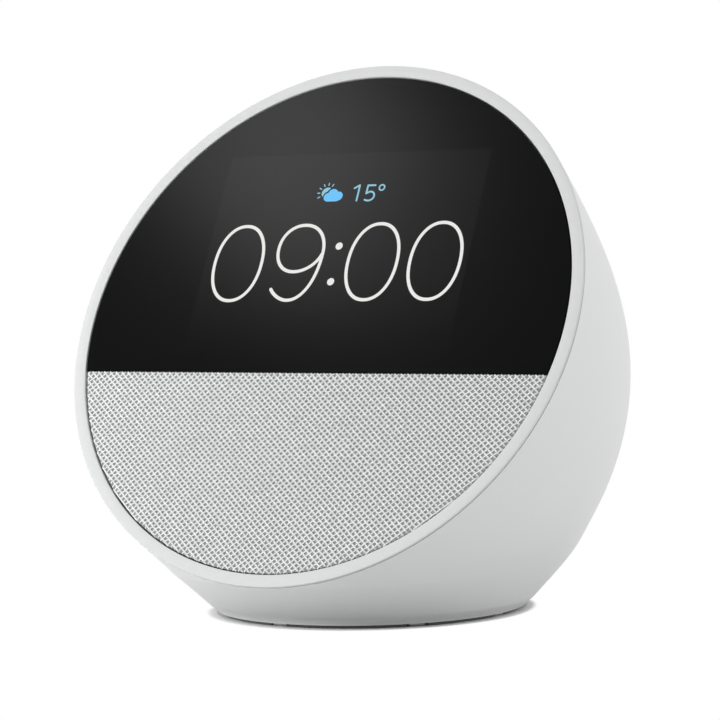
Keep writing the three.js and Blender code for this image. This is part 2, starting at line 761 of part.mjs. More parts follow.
const plateFront = basketBack + clearance;
const plateBack = plateFront + plateThickness;
const magnetFront = plateBack + clearance;
const magnetBack = magnetFront + magnetHeight;
const yokeFront = magnetBack + clearance;
const yokeBack = yokeFront + yokeThickness;
const poleRadius = coilRadius - coilWall - coilGap;
const washer = (outer, inner, near, far) =>
  revolve([
    [inner, near],
    [outer, near],
    [outer, far],
    [inner, far],
  ]);
const plateHole = coilRadius + coilGap;
addPart(speaker, "speaker_top_plate", washer(plateRadius, plateHole, plateFront, plateBack), steel);
addPart(speaker, "speaker_magnet", washer(magnetRadius, magnetBore, magnetFront, magnetBack), ferrite);
addPart(
  speaker,
  "speaker_yoke",
  revolve([
    [0, plateFront],
    [poleRadius, plateFront],
    [poleRadius, yokeFront],
    [plateRadius, yokeFront],
    [plateRadius, yokeBack],
    [0, yokeBack],
  ]),
  steel,
);

// Leads from the loudspeaker to the lower edge of the board
const boardBottom = displayMiddle - boardHeight / 2;
["left", "right"].forEach((side, index) => {
  const x = (index - 0.5) * leadSpacing;
  const startHeight = speakerHeight + basketRadius + leadRadius + clearance;
  const depth = (boardFront + boardBack) / 2;
  const route = [
    new THREE.Vector3(x, startHeight, -flangeBack),
    new THREE.Vector3(x, startHeight, -(flangeBack + depth) / 2),
    new THREE.Vector3(x, (startHeight + boardBottom) / 2, -depth),
    new THREE.Vector3(x, boardBottom - clearance, -depth),
  ];
  addPart(face, `speaker_lead_${side}`, tube(route, leadRadius), copper);
});

// Buttons: caps that follow the housing, with collar and stem over their switches
const switchTop = controlDepth - clearance - switchHeight;
const stemBottom = switchTop - plungerHeight - clearance;
const proudForm = housing(-buttonProud, floorTop, buttonView);
const collarForm = housing(wall + clearance, floorTop, buttonView);
const hollowForm = housing(wall + clearance + collarThickness, floorTop, buttonView);

function makeButton(x) {
  const cap = toSolid(drum(buttonRadius, -standOut, controlDepth, x, 0, smallSides)).intersect(proudForm);
  const collarDrum = drum(collarRadius, -standOut, controlDepth, x, 0, smallSides);
  const collar = toSolid(collarDrum).intersect(collarForm);
  const stem = toSolid(drum(stemRadius, 0, stemBottom, x, 0, tinySides)).intersect(proudForm);
  return joined(cut(cap, hollowForm), cut(collar, hollowForm), stem);
}

function makeSwitch(x) {
  const body = block(switchSide, switchSide, switchTop, controlDepth - clearance, x);
  const well = drum(plungerRadius + clearance, 0, switchTop + plungerSink + switchTravel, x, 0, smallSides);
  return cut(toSolid(body), toSolid(well));
}

buttonNames.forEach((name, index) => {
  const x = buttonPlaces[index];
  const plunger = drum(plungerRadius, switchTop - plungerHeight, switchTop + plungerSink, x, 0, smallSides);
  addPart(controls, `${name}_button`, makeButton(x), whitePlastic);
  addPart(controls, `${name}_plunger`, plunger, blackPlastic);
  addPart(controls, `${name}_switch`, makeSwitch(x), steel);
});

const controlBoard = block(
  controlWidth,
  controlFront + controlBack,
  controlDepth,
  controlDepth + boardThickness,
  0,
  (controlBack - controlFront) / 2,
);
addPart(controls, "button_board", controlBoard, circuit);

["left", "right"].forEach((side, index) => {
  const x = (2 * index - 1) * micSide;
  const boot = drum(micRadius, 0, controlDepth - clearance, x, micBack, smallSides);
  const bore = drum(micBore, -1, controlDepth - 2 * micBore, x, micBack, tinySides);
  addPart(controls, `microphone_${side}`, cut(toSolid(boot).intersect(collarForm), toSolid(bore)), rubber);
});

// Power jack behind the inlet cup
function makePowerJack() {
  const near = cupBack + clearance;
  const body = block(jackWidth, jackHeight, near, near + jackLength);
  const nose = drum(jackNose, inletDepth, near + jackLength / 2, 0, 0, smallSides);
  const bore = drum(jackBore, 0, inletDepth + jackBoreDepth, 0, 0, smallSides);
  return cut(joined(toSolid(body), toSolid(nose)), toSolid(bore));
}
addPart(inlet, "power_jack", makePowerJack(), blackPlastic);
const pinBack = inletDepth + jackBoreDepth - clearance;
addPart(inlet, "jack_pin", drum(jackPin, pinBack - jackPinLength, pinBack, 0, 0, tinySides), steel);

// Lead from the jack to the lower edge of the board
function makePowerLead() {
  const startDepth = cupBack + jackLength + 2 * clearance;
  const start = new THREE.Vector3(0, 0, -startDepth).applyMatrix4(inletFrame);
  const depth = (boardFront + boardBack) / 2;
  const end = new THREE.Vector3(postSide / 2, boardBottom - clearance, -depth).applyMatrix4(faceFrame);
  const rise = new THREE.Vector3(postSide / 2, boardBottom - cableDrop, -depth).applyMatrix4(faceFrame);
  const run = new THREE.Vector3(0, -cableRun, 0);
  return tube([start, start.clone().add(run), rise, end], cableRadius);
}
addPart(clock, "power_lead", makePowerLead(), blackPlastic);

// Base plate with a rib in each gap between the pads
const foot = new THREE.Group();
foot.position.set(0, faceSetback + footCentre, 0);
clock.add(foot);
const padMiddle = padRadius - padWidth / 2;

// The gaps that don't show are spread evenly over the rest of the ring
const [firstGap, , lastGap] = frontGaps;
const backPitch = (2 * Math.PI + firstGap - lastGap) / (padCount + 1 - frontGaps.length);
const backGaps = Array.from({ length: padCount + 1 - frontGaps.length }, (_, index) => {
  return lastGap + (index + 1) * backPitch;
});
const padGaps = [...frontGaps, ...backGaps];

function makeBasePlate() {
  const low = padThickness + clearance;
  const top = low + baseThickness;
  const disc = toSolid(drum(padRadius + baseMargin, -top, -low));
  const spigot = toSolid(drum(hatchRadius - clearance, -top - spigotHeight, -low));
  const hollow = toSolid(drum(hatchRadius - clearance - spigotWall, -reach, -top));
  const ribs = Array.from({ length: padCount }, (_, index) => {
    const rib = block(padWidth, padGap - 2 * clearance, -top, -ribLift, padMiddle);
    return toSolid(rib, new THREE.Matrix4().makeRotationZ(padGaps[index]));
  });
  return joined(cut(disc.add(spigot), hollow), ...ribs);
}
addPart(foot, "base_plate", makeBasePlate(), greyPlastic);

function padOutline(index) {
  const halfGap = padGap / padMiddle / 2;
  const start = padGaps[index] + halfGap;
  const end = padGaps[index + 1] - halfGap;
  const outline = new THREE.Shape();
  outline.absarc(0, 0, padRadius, start, end);
  outline.absarc(0, 0, padRadius - padWidth, end, start, true);
  return outline;
}
Array.from({ length: padCount }, (_, index) => index).forEach((index) => {
  const pad = plate(padOutline(index), -padThickness, 0, tinySides);
  addPart(foot, `foot_pad_${index + 1}`, pad, rubber);
});

export default clock;
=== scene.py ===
import math
from collections import namedtuple

import bmesh
import bpy
from mathutils import Matrix, Vector


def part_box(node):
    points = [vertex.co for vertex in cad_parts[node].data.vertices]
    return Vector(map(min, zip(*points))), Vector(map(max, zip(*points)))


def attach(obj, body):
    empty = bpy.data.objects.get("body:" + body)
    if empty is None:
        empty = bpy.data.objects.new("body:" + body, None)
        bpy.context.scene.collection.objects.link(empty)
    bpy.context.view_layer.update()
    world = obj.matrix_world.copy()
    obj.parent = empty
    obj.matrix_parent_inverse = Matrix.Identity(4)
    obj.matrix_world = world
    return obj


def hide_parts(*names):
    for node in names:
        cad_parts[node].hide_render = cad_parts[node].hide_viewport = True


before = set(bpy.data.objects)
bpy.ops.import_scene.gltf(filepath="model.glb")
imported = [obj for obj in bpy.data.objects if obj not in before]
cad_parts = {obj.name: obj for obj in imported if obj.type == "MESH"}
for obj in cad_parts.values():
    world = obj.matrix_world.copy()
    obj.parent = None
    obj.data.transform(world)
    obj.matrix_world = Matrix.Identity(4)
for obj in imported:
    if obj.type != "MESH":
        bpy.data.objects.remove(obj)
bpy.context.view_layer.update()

# Rear shell: the white housing, a round body whose level sections pass through the leaning rim
# and narrow to a round foot. It is one moulding in matte plastic, open at the face, with a
# bevelled edge just above the table and a round recess for the base plate.
mm = 0.001
rim_radius = 56.5
face_lean = math.radians(27.8)
rim_lift = 9.6
depth_ratio = 1.25
low_back_ratio = 0.92
spine = [share * rim_radius for share in (0.382, 0.122, 0.028, -0.694)]
foot_centre = 0.313 * rim_radius
shell_wall = 2.2
shell_lip = 1.0
lip_depth = 4.0
shell_front = 0.68
edge_lift = 0.7
edge_bevel = 1.7
bevel_height = 1.5
edge_wall = 0.6
edge_band = 0.45
edge_flare = 0.25
recess_radius = 30.7
recess_top = 3.0
floor_top = 5.2
hatch_radius = 20.0
ease_height = 2.8
ease_top = 18.0
ease_fade = 3.0
ease_samples = 9
full_front, full_back = 0.10, 0.14
halvings = 40
weld_gap = 0.001
low_search, high_search = 2.0, 6.0
insert_radius = 53.7
lens_front = 0.1
lens_back = 1.2
lean_sine, lean_cosine, lean_slope = math.sin(face_lean), math.cos(face_lean), math.tan(face_lean)
face_z = rim_lift + rim_radius * lean_cosine
rim_top = face_z + rim_radius * lean_cosine
bevel_top = edge_lift + bevel_height
foot_radius = recess_radius + edge_wall + edge_bevel
face_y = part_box("display_lens")[1].y / mm - insert_radius * lean_sine - lens_back * lean_cosine

Level = namedtuple("Level", "centre width front back front_power back_power")


def plain_section(height):
    """Centre behind the face centre, half width and back of the housing, before it is eased."""
    share = max(height - rim_lift, 0) / (rim_top - rim_lift)
    rest = 1 - share
    weights = (rest**3, 3 * share * rest**2, 3 * share**2 * rest, share**3)
    centre = sum(weight * place for weight, place in zip(weights, spine))
    rise = max(height, rim_lift) - face_z
    chord = max(rim_radius**2 - (rise / lean_cosine) ** 2, 0)
    width = math.sqrt(chord + ((rise * lean_slope - centre) / depth_ratio) ** 2)
    back = width * (depth_ratio - (depth_ratio - low_back_ratio) * rest**4)
    taper = min(max(height - bevel_top, 0) / (rim_lift - bevel_top), 1)
    foot = (foot_centre, foot_radius, foot_radius)
    return [low + (high - low) * taper for low, high in zip(foot, (centre, width, back))]


def soft_step(value, first, last):
    """Smooth rise from zero at the first value to one at the last."""
    share = min(max((value - first) / (last - first), 0), 1)
    return share * share * (3 - 2 * share)


def section(height):
    """Centre, half width, front and back of the housing at a height, and its two curve powers."""
    if height > ease_top:
        centre, width, back = plain_section(height)
        return Level(centre, width, width * depth_ratio, back, 2, 2)
    ease = max(min(height - bevel_top, ease_height, (ease_top - height) / ease_fade), 0)
    spread = [ease * (2 * step / (ease_samples - 1) - 1) for step in range(ease_samples)]
    levels = [plain_section(height + offset) for offset in spread]
    centre, width, back = (sum(values) / len(levels) for values in zip(*levels))
    fuller = soft_step(height, edge_lift, rim_lift) * (1 - soft_step(height, rim_lift, ease_top))
    front_power, back_power = 2 + full_front * fuller, 2 + full_back * fuller
    rim_y = plane_y(max(height, rim_lift), 0)
    rim_half = math.sqrt(max(rim_radius**2 - (rim_y / lean_sine) ** 2, 0))
    inside = 1 - (rim_half / width) ** front_power
    front = (centre - rim_y) / inside ** (1 / front_power)
    if height < rim_lift:
        low_y = foot_centre - foot_radius
        front = centre - low_y - (rim_y - low_y) * (height - bevel_top) / (rim_lift - bevel_top)
    return Level(centre, width, front, back, front_power, back_power)


def half_of(level, behind):
    """Length and curve power of the half of a level section before or behind its centre."""
    return (level.back, level.back_power) if behind > 0 else (level.front, level.front_power)


def outside(point):
    """Above zero outside the housing form, below zero inside it."""
    level = section(point.z)
    behind = point.y - face_y - level.centre
    length, power = half_of(level, behind)
    return abs(point.x / level.width) ** power + abs(behind / length) ** power - 1


def on_surface(start, direction, near, far):
    """Point of the housing form between two distances from a start, the first one inside."""
    for _ in range(halvings):
        middle = (near + far) / 2
        if outside(start + direction * middle) > 0:
            far = middle
        else:
            near = middle
    return start + direction * near


def plane_y(height, depth):
    """How far behind the face centre a plane at a depth under the face lies, at a height."""
    return (height - face_z) * lean_slope + depth / lean_cosine


def round_point(level, angle, inset):
    """Place across and behind the face centre on a level section, by its angle from the back."""
    aside, behind = math.sin(angle), math.cos(angle)
    length, power = half_of(level, behind)
    x = (level.width - inset) * math.copysign(abs(aside) ** (2 / power), aside)
    return x, level.centre + (length - inset) * math.copysign(abs(behind) ** (2 / power), behind)


def level_row(height, inset, depth, columns):
    """Points round the housing at a height, from the left end at the face to the right end."""
    level = section(height)
    reach = plane_y(height, depth) - level.centre
    length, power = half_of(level, reach)
    share = min(abs(reach) / (length - inset), 1)
    end = math.acos(math.copysign(share ** (power / 2), reach))
    row = []
    for column in range(columns + 1):
        angle = end * (2 * column / columns - 1)
        under_face = (round_point(level, angle, 0)[1] - plane_y(height, 0)) * lean_cosine
        thick = shell_wall if inset and under_face > lip_depth else inset
        x, y = round_point(level, angle, thick)
        row.append((x, face_y + y, height))
    return row


def rim_heights(inset, depth, steps):
    """Heights at even steps round the edge where the housing meets a plane under the face."""
    ends = []
    low_end = (-1, rim_lift - low_search, rim_lift + low_search)
    high_end = (1, rim_top - high_search, rim_top)
    for side, near, far in (low_end, high_end):
        for _ in range(halvings):
            middle = (near + far) / 2
            level = section(middle)
            if level.centre + (half_of(level, side)[0] - inset) * side < plane_y(middle, depth):
                far = middle
            else:
                near = middle
        ends.append((near + far) / 2)
    middle, half = (ends[0] + ends[1]) / 2, (ends[1] - ends[0]) / 2
    return [middle - half * math.cos(math.pi * step / steps) for step in range(steps + 1)]


def wrapped(name, rows):
    """Grid of cells wrapped over rows of points in millimetres, with seams and poles merged."""
    bpy.ops.object.select_all(action="DESELECT")
    bpy.ops.mesh.primitive_grid_add(x_subdivisions=len(rows[0]) - 1, y_subdivisions=len(rows) - 1)
    piece = bpy.context.object
    piece.name = piece.data.name = name
    places = [length * mm for row in rows for point in row for length in point]
    piece.data.vertices.foreach_set("co", places)
    bpy.ops.object.mode_set(mode="EDIT")
    bpy.ops.mesh.select_all(action="SELECT")
    bpy.ops.mesh.remove_doubles(threshold=weld_gap * mm)
    bpy.ops.mesh.normals_make_consistent(inside=False)
    bpy.ops.object.mode_set(mode="OBJECT")
    return piece


def pick_only(piece):
    """Select one piece alone and make it the active one."""
    bpy.ops.object.select_all(action="DESELECT")
    piece.select_set(True)
    bpy.context.view_layer.objects.active = piece


def smoothed(piece, degrees=32):
    """Shade a piece smooth, with its edges kept sharp past an angle."""
    pick_only(piece)
    bpy.ops.object.shade_smooth_by_angle(angle=math.radians(degrees))


def combine(piece, other, operation):
    """Add a second piece to the first or cut it out, with a Boolean, and remove the second."""
    pick_only(piece)
    boolean = piece.modifiers.new("combine", "BOOLEAN")
    boolean.operation, boolean.solver, boolean.object = operation, "EXACT", other
    bpy.ops.object.modifier_apply(modifier=boolean.name)
    bpy.data.objects.remove(other)
    bpy.ops.object.mode_set(mode="EDIT")
    bpy.ops.mesh.select_all(action="SELECT")
    bpy.ops.mesh.remove_doubles(threshold=2 * weld_gap * mm)
    bpy.ops.object.mode_set(mode="OBJECT")


def cut_out(piece, cutter):
    """Cut one piece out of another."""
    combine(piece, cutter, "DIFFERENCE")


around, rim_steps = 192, 72
foot_steps, floor_steps = 16, 4
outer_heights = rim_heights(0, shell_front, rim_steps)
inner_heights = rim_heights(shell_lip, shell_front, rim_steps)


def foot_ring(radius, height):
    """Level ring round the middle of the foot, in the order of a housing row."""
    angles = [math.pi * (2 * column / around - 1) for column in range(around + 1)]
    middle = face_y + foot_centre
    return [(radius * math.sin(a), middle + radius * math.cos(a), height) for a in angles]


foot_rise = (outer_heights[0] - bevel_top) / foot_steps
foot_levels = [bevel_top + foot_rise * step for step in range(1, foot_steps)]
floor_rise = (inner_heights[0] - floor_top) / floor_steps
floor_levels = [floor_top + floor_rise * step for step in range(floor_steps)]
shell_rows = [level_row(height, shell_lip, shell_front, around) for height in inner_heights[::-1]]
shell_rows += [level_row(height, shell_wall, -rim_radius, around) for height in floor_levels[::-1]]
shell_rows += [foot_ring(hatch_radius, floor_top), foot_ring(hatch_radius, recess_top)]
shell_rows += [foot_ring(recess_radius, recess_top), foot_ring(recess_radius, edge_lift)]
shell_rows += [foot_ring(recess_radius + edge_wall, edge_lift)]
shell_rows += [foot_ring(recess_radius + edge_wall + edge_flare, edge_lift + edge_band)]
shell_rows += [foot_ring(foot_radius, bevel_top)]
shell_rows += [level_row(height, 0, -rim_radius, around) for height in foot_levels]
shell_rows += [level_row(height, 0, shell_front, around) for height in outer_heights]
shell = wrapped("housing_shell", shell_rows)
bpy.ops.object.mode_set(mode="EDIT")
bpy.ops.mesh.select_mode(type="EDGE")
bpy.ops.mesh.select_all(action="DESELECT")
bpy.ops.mesh.select_non_manifold(extend=False, use_wire=False, use_multi_face=False,
                                 use_non_contiguous=False, use_verts=False)
bpy.ops.mesh.bridge_edge_loops()
bpy.ops.mesh.select_all(action="SELECT")
bpy.ops.mesh.normals_make_consistent(inside=False)
bpy.ops.object.mode_set(mode="OBJECT")


class Wire:
    """A socket in a material's node tree, on which arithmetic adds Math nodes."""

    def __init__(self, tree, socket=None):
        self.tree = tree
        self.socket = socket

    def node(self, kind, settings, sockets, output=0):
        """Wire from a new node, made with its settings first and then its socket values."""
        made = self.tree.nodes.new("ShaderNode" + kind)
        for name, value in settings.items():
            setattr(made, name, value)
        for name, value in sockets.items():
            if isinstance(value, Wire):
                self.tree.links.new(value.socket, made.inputs[name])
            else:
                made.inputs[name].default_value = value
        return Wire(self.tree, made.outputs[output])

    def math(self, operation, first, second=0.0):
        return self.node("Math", {"operation": operation}, {0: first, 1: second})

    def __add__(self, other):
        return self.math("ADD", self, other)

    def __sub__(self, other):
        return self.math("SUBTRACT", self, other)

    def __rsub__(self, other):
        return self.math("SUBTRACT", other, self)

    def __mul__(self, other):
        return self.math("MULTIPLY", self, other)

    def __truediv__(self, other):
        return self.math("DIVIDE", self, other)

    def __rtruediv__(self, other):
        return self.math("DIVIDE", other, self)

    __radd__ = __add__
    __rmul__ = __mul__

    def blend(self, low, high):
        """Colour between two colours, by this value."""
        return self.node("Mix", {"data_type": "RGBA"}, {0: self, 6: (*low, 1), 7: (*high, 1)}, 2)

    def feed(self, socket):
        """Link this wire to a socket of its material's main shader."""
        self.tree.links.new(self.socket, self.tree.nodes["Principled BSDF"].inputs[socket])


def new_finish(name, even=None):
    """Material with the settings that are even all over it, and a wire of its place."""
    material = bpy.data.materials.new(name)
    material.use_nodes = True
    for socket, value in (even or {}).items():
        material.node_tree.nodes["Principled BSDF"].inputs[socket].default_value = value
    return material, Wire(material.node_tree).node("TexCoord", {}, {}, "Object")


cloud_scale, shine_range = 45, 0.1


def grained(name, colour, roughness, grain, depth, cloud=0.02, even=None):
    """Moulded finish: a faintly clouded colour with a fine etched grain, sizes in millimetres."""
    material, place = new_finish(name, even)
    drift = place.node("TexNoise", {}, {"Vector": place, "Scale": cloud_scale, "Detail": 3})
    deep = [value * (1 - cloud) for value in colour]
    drift.blend(deep, [value * (1 + cloud) for value in colour]).feed("Base Color")
    (roughness + shine_range * (drift - 0.5)).feed("Roughness")
    etch = place.node("TexNoise", {}, {"Vector": place, "Scale": 1 / (grain * mm), "Detail": 2})
    relief = {"Height": etch, "Strength": 0.5, "Distance": depth * mm}
    place.node("Bump", {}, relief).feed("Normal")
    return material


white_plastic = grained("white_plastic", (0.79, 0.80, 0.795), 0.5, 0.35, 0.012)
shell.data.materials.append(white_plastic)


def drum(radius, near, far, frame_matrix, x=0.0, y=0.0, sides=96):
    """Round cutter along a frame's third axis, between two depths below the frame's origin."""
    bpy.ops.object.select_all(action="DESELECT")
    bpy.ops.mesh.primitive_cylinder_add(vertices=sides, radius=radius * mm, depth=(far - near) * mm)
    cutter = bpy.context.object
    middle = Matrix.Translation(Vector((x, y, -(near + far) / 2)) * mm)
    cutter.data.transform(frame_matrix @ middle)
    return cutter


def frame_of(right, up, out, origin):
    """Matrix of a frame from its three axes and its origin in millimetres."""
    turned = Matrix((right, up, out)).transposed().to_4x4()
    return Matrix.Translation(Vector(origin) * mm) @ turned


# Power inlet: a round recess in the back of the shell with a barrel socket behind its floor.
# The cup is moulded with the shell, the socket is black plastic on a lead, and the steel pin
# stands in the middle of its bore.
inlet_share = 0.2008
inlet_radius = 6.0
inlet_depth = 7.0
inlet_wall = 1.6
inlet_z = inlet_share * rim_top
inlet_level = section(inlet_z)
inlet_y = face_y + inlet_level.centre + inlet_level.back
inlet_frame = frame_of((1, 0, 0), (0, 0, -1), (0, 1, 0), (0, inlet_y, inlet_z))


def full_turn(sides):
    """Angles at even steps once round, with the first one again at the end."""
    return [2 * math.pi * side / sides for side in range(sides + 1)]


def turned_rows(profile, matrix, sides):
    """Rows of a turned form: a profile of radius and depth pairs round a frame's third axis."""
    rows = []
    for radius, depth in profile:
        ring = [(radius * math.cos(a), radius * math.sin(a), -depth) for a in full_turn(sides)]
        rows.append([matrix @ (Vector(point) * mm) / mm for point in ring])
    return rows


def rounded_corner(radius, depth, size, steps=4):
    """Profile points round an outer front corner at a radius and depth."""
    turns = [math.pi / 2 * step / steps for step in range(steps + 1)]
    return [(radius - size + size * math.sin(t), depth + size - size * math.cos(t)) for t in turns]


nose_radius = 3.2
nose_gap = 0.3
floor_round = 0.3
cup_sides, recess_sides = 96, 110
cup_outer = inlet_radius + inlet_wall
cup_back = inlet_depth + inlet_wall
cup_rows = turned_rows([(cup_outer * share, 0) for share in (0, 0.5, 1)], inlet_frame, cup_sides)
for row in cup_rows:
    for place, point in enumerate(row):
        level = section(point.z)
        share = (1 - abs(point.x / level.width) ** level.back_power) ** (1 / level.back_power)
        wall_y = face_y + level.centre + level.back * share
        row[place] = Vector((point.x, wall_y - shell_wall / 2, point.z))
cup_rows += turned_rows([(cup_outer, cup_back), (0, cup_back)], inlet_frame, cup_sides)
combine(shell, wrapped("inlet_cup", cup_rows), "UNION")
nose_hole = nose_radius + nose_gap
above, through = -rim_radius / 2, cup_back + inlet_wall
recess_profile = [(0, above), (inlet_radius, above), (inlet_radius, inlet_depth - floor_round),
                  (inlet_radius - floor_round, inlet_depth), (nose_hole, inlet_depth),
                  (nose_hole, through), (0, through)]
cut_out(shell, wrapped("inlet_recess", turned_rows(recess_profile, inlet_frame, recess_sides)))

jack_bore = 2.7
jack_bore_depth = 9.0
nose_sink = 0.05
jack_front = inlet_depth + nose_sink
jack_radius = 4.8
jack_length = 13.5
jack_rounding = 0.2
mouth_width, mouth_depth = 0.1, 0.25
jack_sides, pin_sides = 72, 48
bore_back = inlet_depth + jack_bore_depth
jack_shoulder = cup_back + nose_gap
jack_back = jack_shoulder + jack_length
jack_profile = [(0, bore_back), (jack_bore, bore_back), (jack_bore, jack_front + mouth_depth),
                (jack_bore + mouth_width, jack_front)]
jack_profile += rounded_corner(nose_radius, jack_front, jack_rounding)
jack_profile += [(nose_radius, jack_shoulder), (jack_radius, jack_shoulder),
                 (jack_radius, jack_back), (0, jack_back)]
jack = wrapped("power_socket", turned_rows(jack_profile, inlet_frame, jack_sides))
smoothed(jack)
black_plastic = grained("black_plastic", (0.03, 0.031, 0.032), 0.45, 0.3, 0.01, 0.1)
jack.data.materials.append(black_plastic)
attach(jack, "housing")
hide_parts("power_jack")

pin_radius = 1.0
pin_rounding = 0.45
pin_length = 7.0
pin_back = bore_back - nose_gap
pin_front = pin_back - pin_length
pin_profile = [(0, pin_front), *rounded_corner(pin_radius, pin_front, pin_rounding)]
pin_profile += [(pin_radius, pin_back), (0, pin_back)]
pin = wrapped("socket_pin", turned_rows(pin_profile, inlet_frame, pin_sides))
smoothed(pin)

streak_scale, streak_shine = 900, 0.2


def brushed(name, colour, roughness, stretch):
    """Bare metal: fine streaks along one axis in its shine and its colour."""
    material, place = new_finish(name, {"Metallic": 1.0})
    streak = place.node("Mapping", {}, {"Vector": place, "Scale": stretch})
    lines = place.node("TexNoise", {}, {"Vector": streak, "Scale": streak_scale, "Detail": 4})
    lines.blend([value * 0.9 for value in colour], colour).feed("Base Color")
    (roughness + streak_shine * (lines - 0.5)).feed("Roughness")
    relief = {"Height": lines, "Strength": 0.3, "Distance": 0.004 * mm}
    place.node("Bump", {}, relief).feed("Normal")
    return material


steel = brushed("steel", (0.55, 0.56, 0.57), 0.3, (1, 0.05, 1))
pin.data.materials.append(steel)
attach(pin, "housing")
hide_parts("jack_pin")

# Top buttons: volume down, microphone mute and volume up in a row behind the rim. Each is a
# round white cap that follows the housing and stands a little proud in its hole, with a grey
# printed sign, and moves straight into the shell onto its switch.
button_share = 0.8243
button_pitch = 15.0
button_radius = 5.5
button_gap = 0.3
button_proud = 0.4
collar_radius = 6.4
collar_over, collar_under = 2.6, 3.8
stem_radius = 1.8
stem_depth = 6.2
button_z = rim_lift + (rim_top - rim_lift) * button_share
cap_edge = 0.4
cap_radii = (0, 1.3, 2.6, 3.9, button_radius - cap_edge)
cap_sides = 96
control_depth = 11.0
cap_above, cap_below = 6.0, 12.0


def back_y(height):
    """How far behind the face centre the back of the housing lies at a height."""
    level = section(height)
    return level.centre + level.back


button_slope = (back_y(button_z + 1) - back_y(button_z - 1)) / 2
button_axis = Vector((0, 1, -button_slope)).normalized()
button_up = Vector((0, button_axis.z, -button_axis.y))
button_origin = Vector((0, face_y + back_y(button_z), button_z))
button_frame = frame_of((1, 0, 0), button_up, button_axis, button_origin)


def over_housing(x, y, height):
    """Point at a height over the housing, by its place in the frame of the buttons."""
    start = button_origin + Vector((x, 0, 0)) + button_up * y
    return on_surface(start, button_axis, -cap_below, cap_above) + button_axis * height


def cap_rows(middle):
    """Rows of a button from the middle of its cap, round its edge, over its collar to its stem."""
    rings = [(radius, button_proud) for radius in cap_radii]
    for radius, drop in rounded_corner(button_radius, 0, cap_edge, 5)[1:]:
        rings.append((radius, button_proud - drop))
    rings += [(button_radius, -collar_over), (collar_radius, -collar_over)]
    rings += [(collar_radius, -collar_under), (stem_radius, -collar_under)]
    rows = []
    for radius, height in rings:
        turn = full_turn(cap_sides)
        spots = [(middle + radius * math.cos(a), radius * math.sin(a)) for a in turn]
        rows.append([over_housing(x, y, height) for x, y in spots])
    stem_end = [(stem_radius, stem_depth), (0, stem_depth)]
    moved = button_frame @ Matrix.Translation((middle * mm, 0, 0))
    return rows + turned_rows(stem_end, moved, cap_sides)


def corner_path(knots, steps=14, fullness=2.0):
    """Smooth path through every second knot, with the knots between them as its corners."""
    path = []
    for first, corner, last in zip(knots[0::2], knots[1::2], knots[2::2]):
        first, corner, last = Vector(first), Vector(corner), Vector(last)
        for step in range(steps):
            turn = math.pi / 2 * step / steps
            leave = 1 - math.sin(turn) ** (2 / fullness)
            arrive = 1 - math.cos(turn) ** (2 / fullness)
            path.append(corner + (first - corner) * leave + (last - corner) * arrive)
    return path + [Vector(knots[-1])]


def oval(x, y, half_width, half_height, fullness=2.0, steps=14):
    """Closed round path about a middle, from its top clockwise."""
    a, b = half_width, half_height
    knots = [(0, b), (a, b), (a, 0), (a, -b), (0, -b), (-a, -b), (-a, 0), (-a, b), (0, b)]
    return corner_path([(x + p, y + q) for p, q in knots], steps, fullness)


def thickened(piece, thickness):
    """Give the active thin piece its thickness in millimetres, behind its face."""
    thicken = piece.modifiers.new("thickness", "SOLIDIFY")
    thicken.thickness, thicken.offset = thickness * mm, -1
    bpy.ops.object.modifier_apply(modifier=thicken.name)
    return piece


end_steps = 5
same_place = 1e-6


def band(name, path, width, place, thickness):
    """Thin band of even width along a path, with round ends, laid where place puts its points."""
    half, closed = width / 2, (path[0] - path[-1]).length < same_place
    stations = []
    for index, point in enumerate(path):
        before = path[index - 1] if index else (path[-2] if closed else point)
        after = path[index + 1] if index + 1 < len(path) else (path[1] if closed else point)
        stations.append((point, (after - before).normalized(), half))
    if not closed:
        turns = [math.pi / 2 * step / end_steps for step in range(end_steps, 0, -1)]
        (start, ahead, _), (end, on, _) = stations[0], stations[-1]
        caps = [(start - ahead * half * math.sin(t), ahead, half * math.cos(t)) for t in turns]
        ends = [(end + on * half * math.sin(t), on, half * math.cos(t)) for t in turns[::-1]]
        stations = caps + stations + ends
    sides = [[point + Vector((-along.y, along.x)) * reach * side for point, along, reach in stations]
             for side in (1, 0, -1)]
    return thickened(wrapped(name, [[place(*point) for point in row] for row in sides]), thickness)


def joined(name, parts):
    """One piece from several, with its own mesh."""
    bpy.ops.object.select_all(action="DESELECT")
    for part in parts:
        part.select_set(True)
    bpy.context.view_layer.objects.active = parts[0]
    bpy.ops.object.join()
    parts[0].name = parts[0].data.name = name
    return parts[0]


def line(*points):
    """Straight path between two or more points."""
    return [Vector(point) for point in points]


def sign_spot(x, y):
    """Place of a printed point just over the caps of the buttons."""
    return over_housing(x, y, button_proud + sign_lift)


sign_width = 0.42
sign_lift = 0.03
sign_thickness = 0.1
arm = 1.7
top, low, half = 1.9, 0.1, 0.75
right_side = [(half, top), (half, top - half), (half, top - half), (half, low + half), (half, low)]
left_side = [(-x, y) for x, y in reversed(right_side)]
capsule = [(0, top), *right_side, (0, low), *left_side, (0, top)]
cradle_half, cradle_top, cradle_low = 1.4, 0.75, -0.7
cradle = [(-cradle_half, cradle_top), (-cradle_half, cradle_low), (0, cradle_low),
          (cradle_half, cradle_low), (cradle_half, cradle_top)]
stand = line((0, cradle_low), (0, -arm))
slash = line((-1.9, 1.7), (1.9, -1.5))
button_signs = {
    "volume_down": [line((-arm, 0), (arm, 0))],
    "mic_mute": [corner_path(capsule, 8), corner_path(cradle, 10), stand, slash],
    "volume_up": [line((-arm, 0), (arm, 0)), line((0, -arm), (0, arm))],
}
sign_print = grained("sign_print", (0.30, 0.31, 0.315), 0.6, 0.2, 0.006, 0.06)
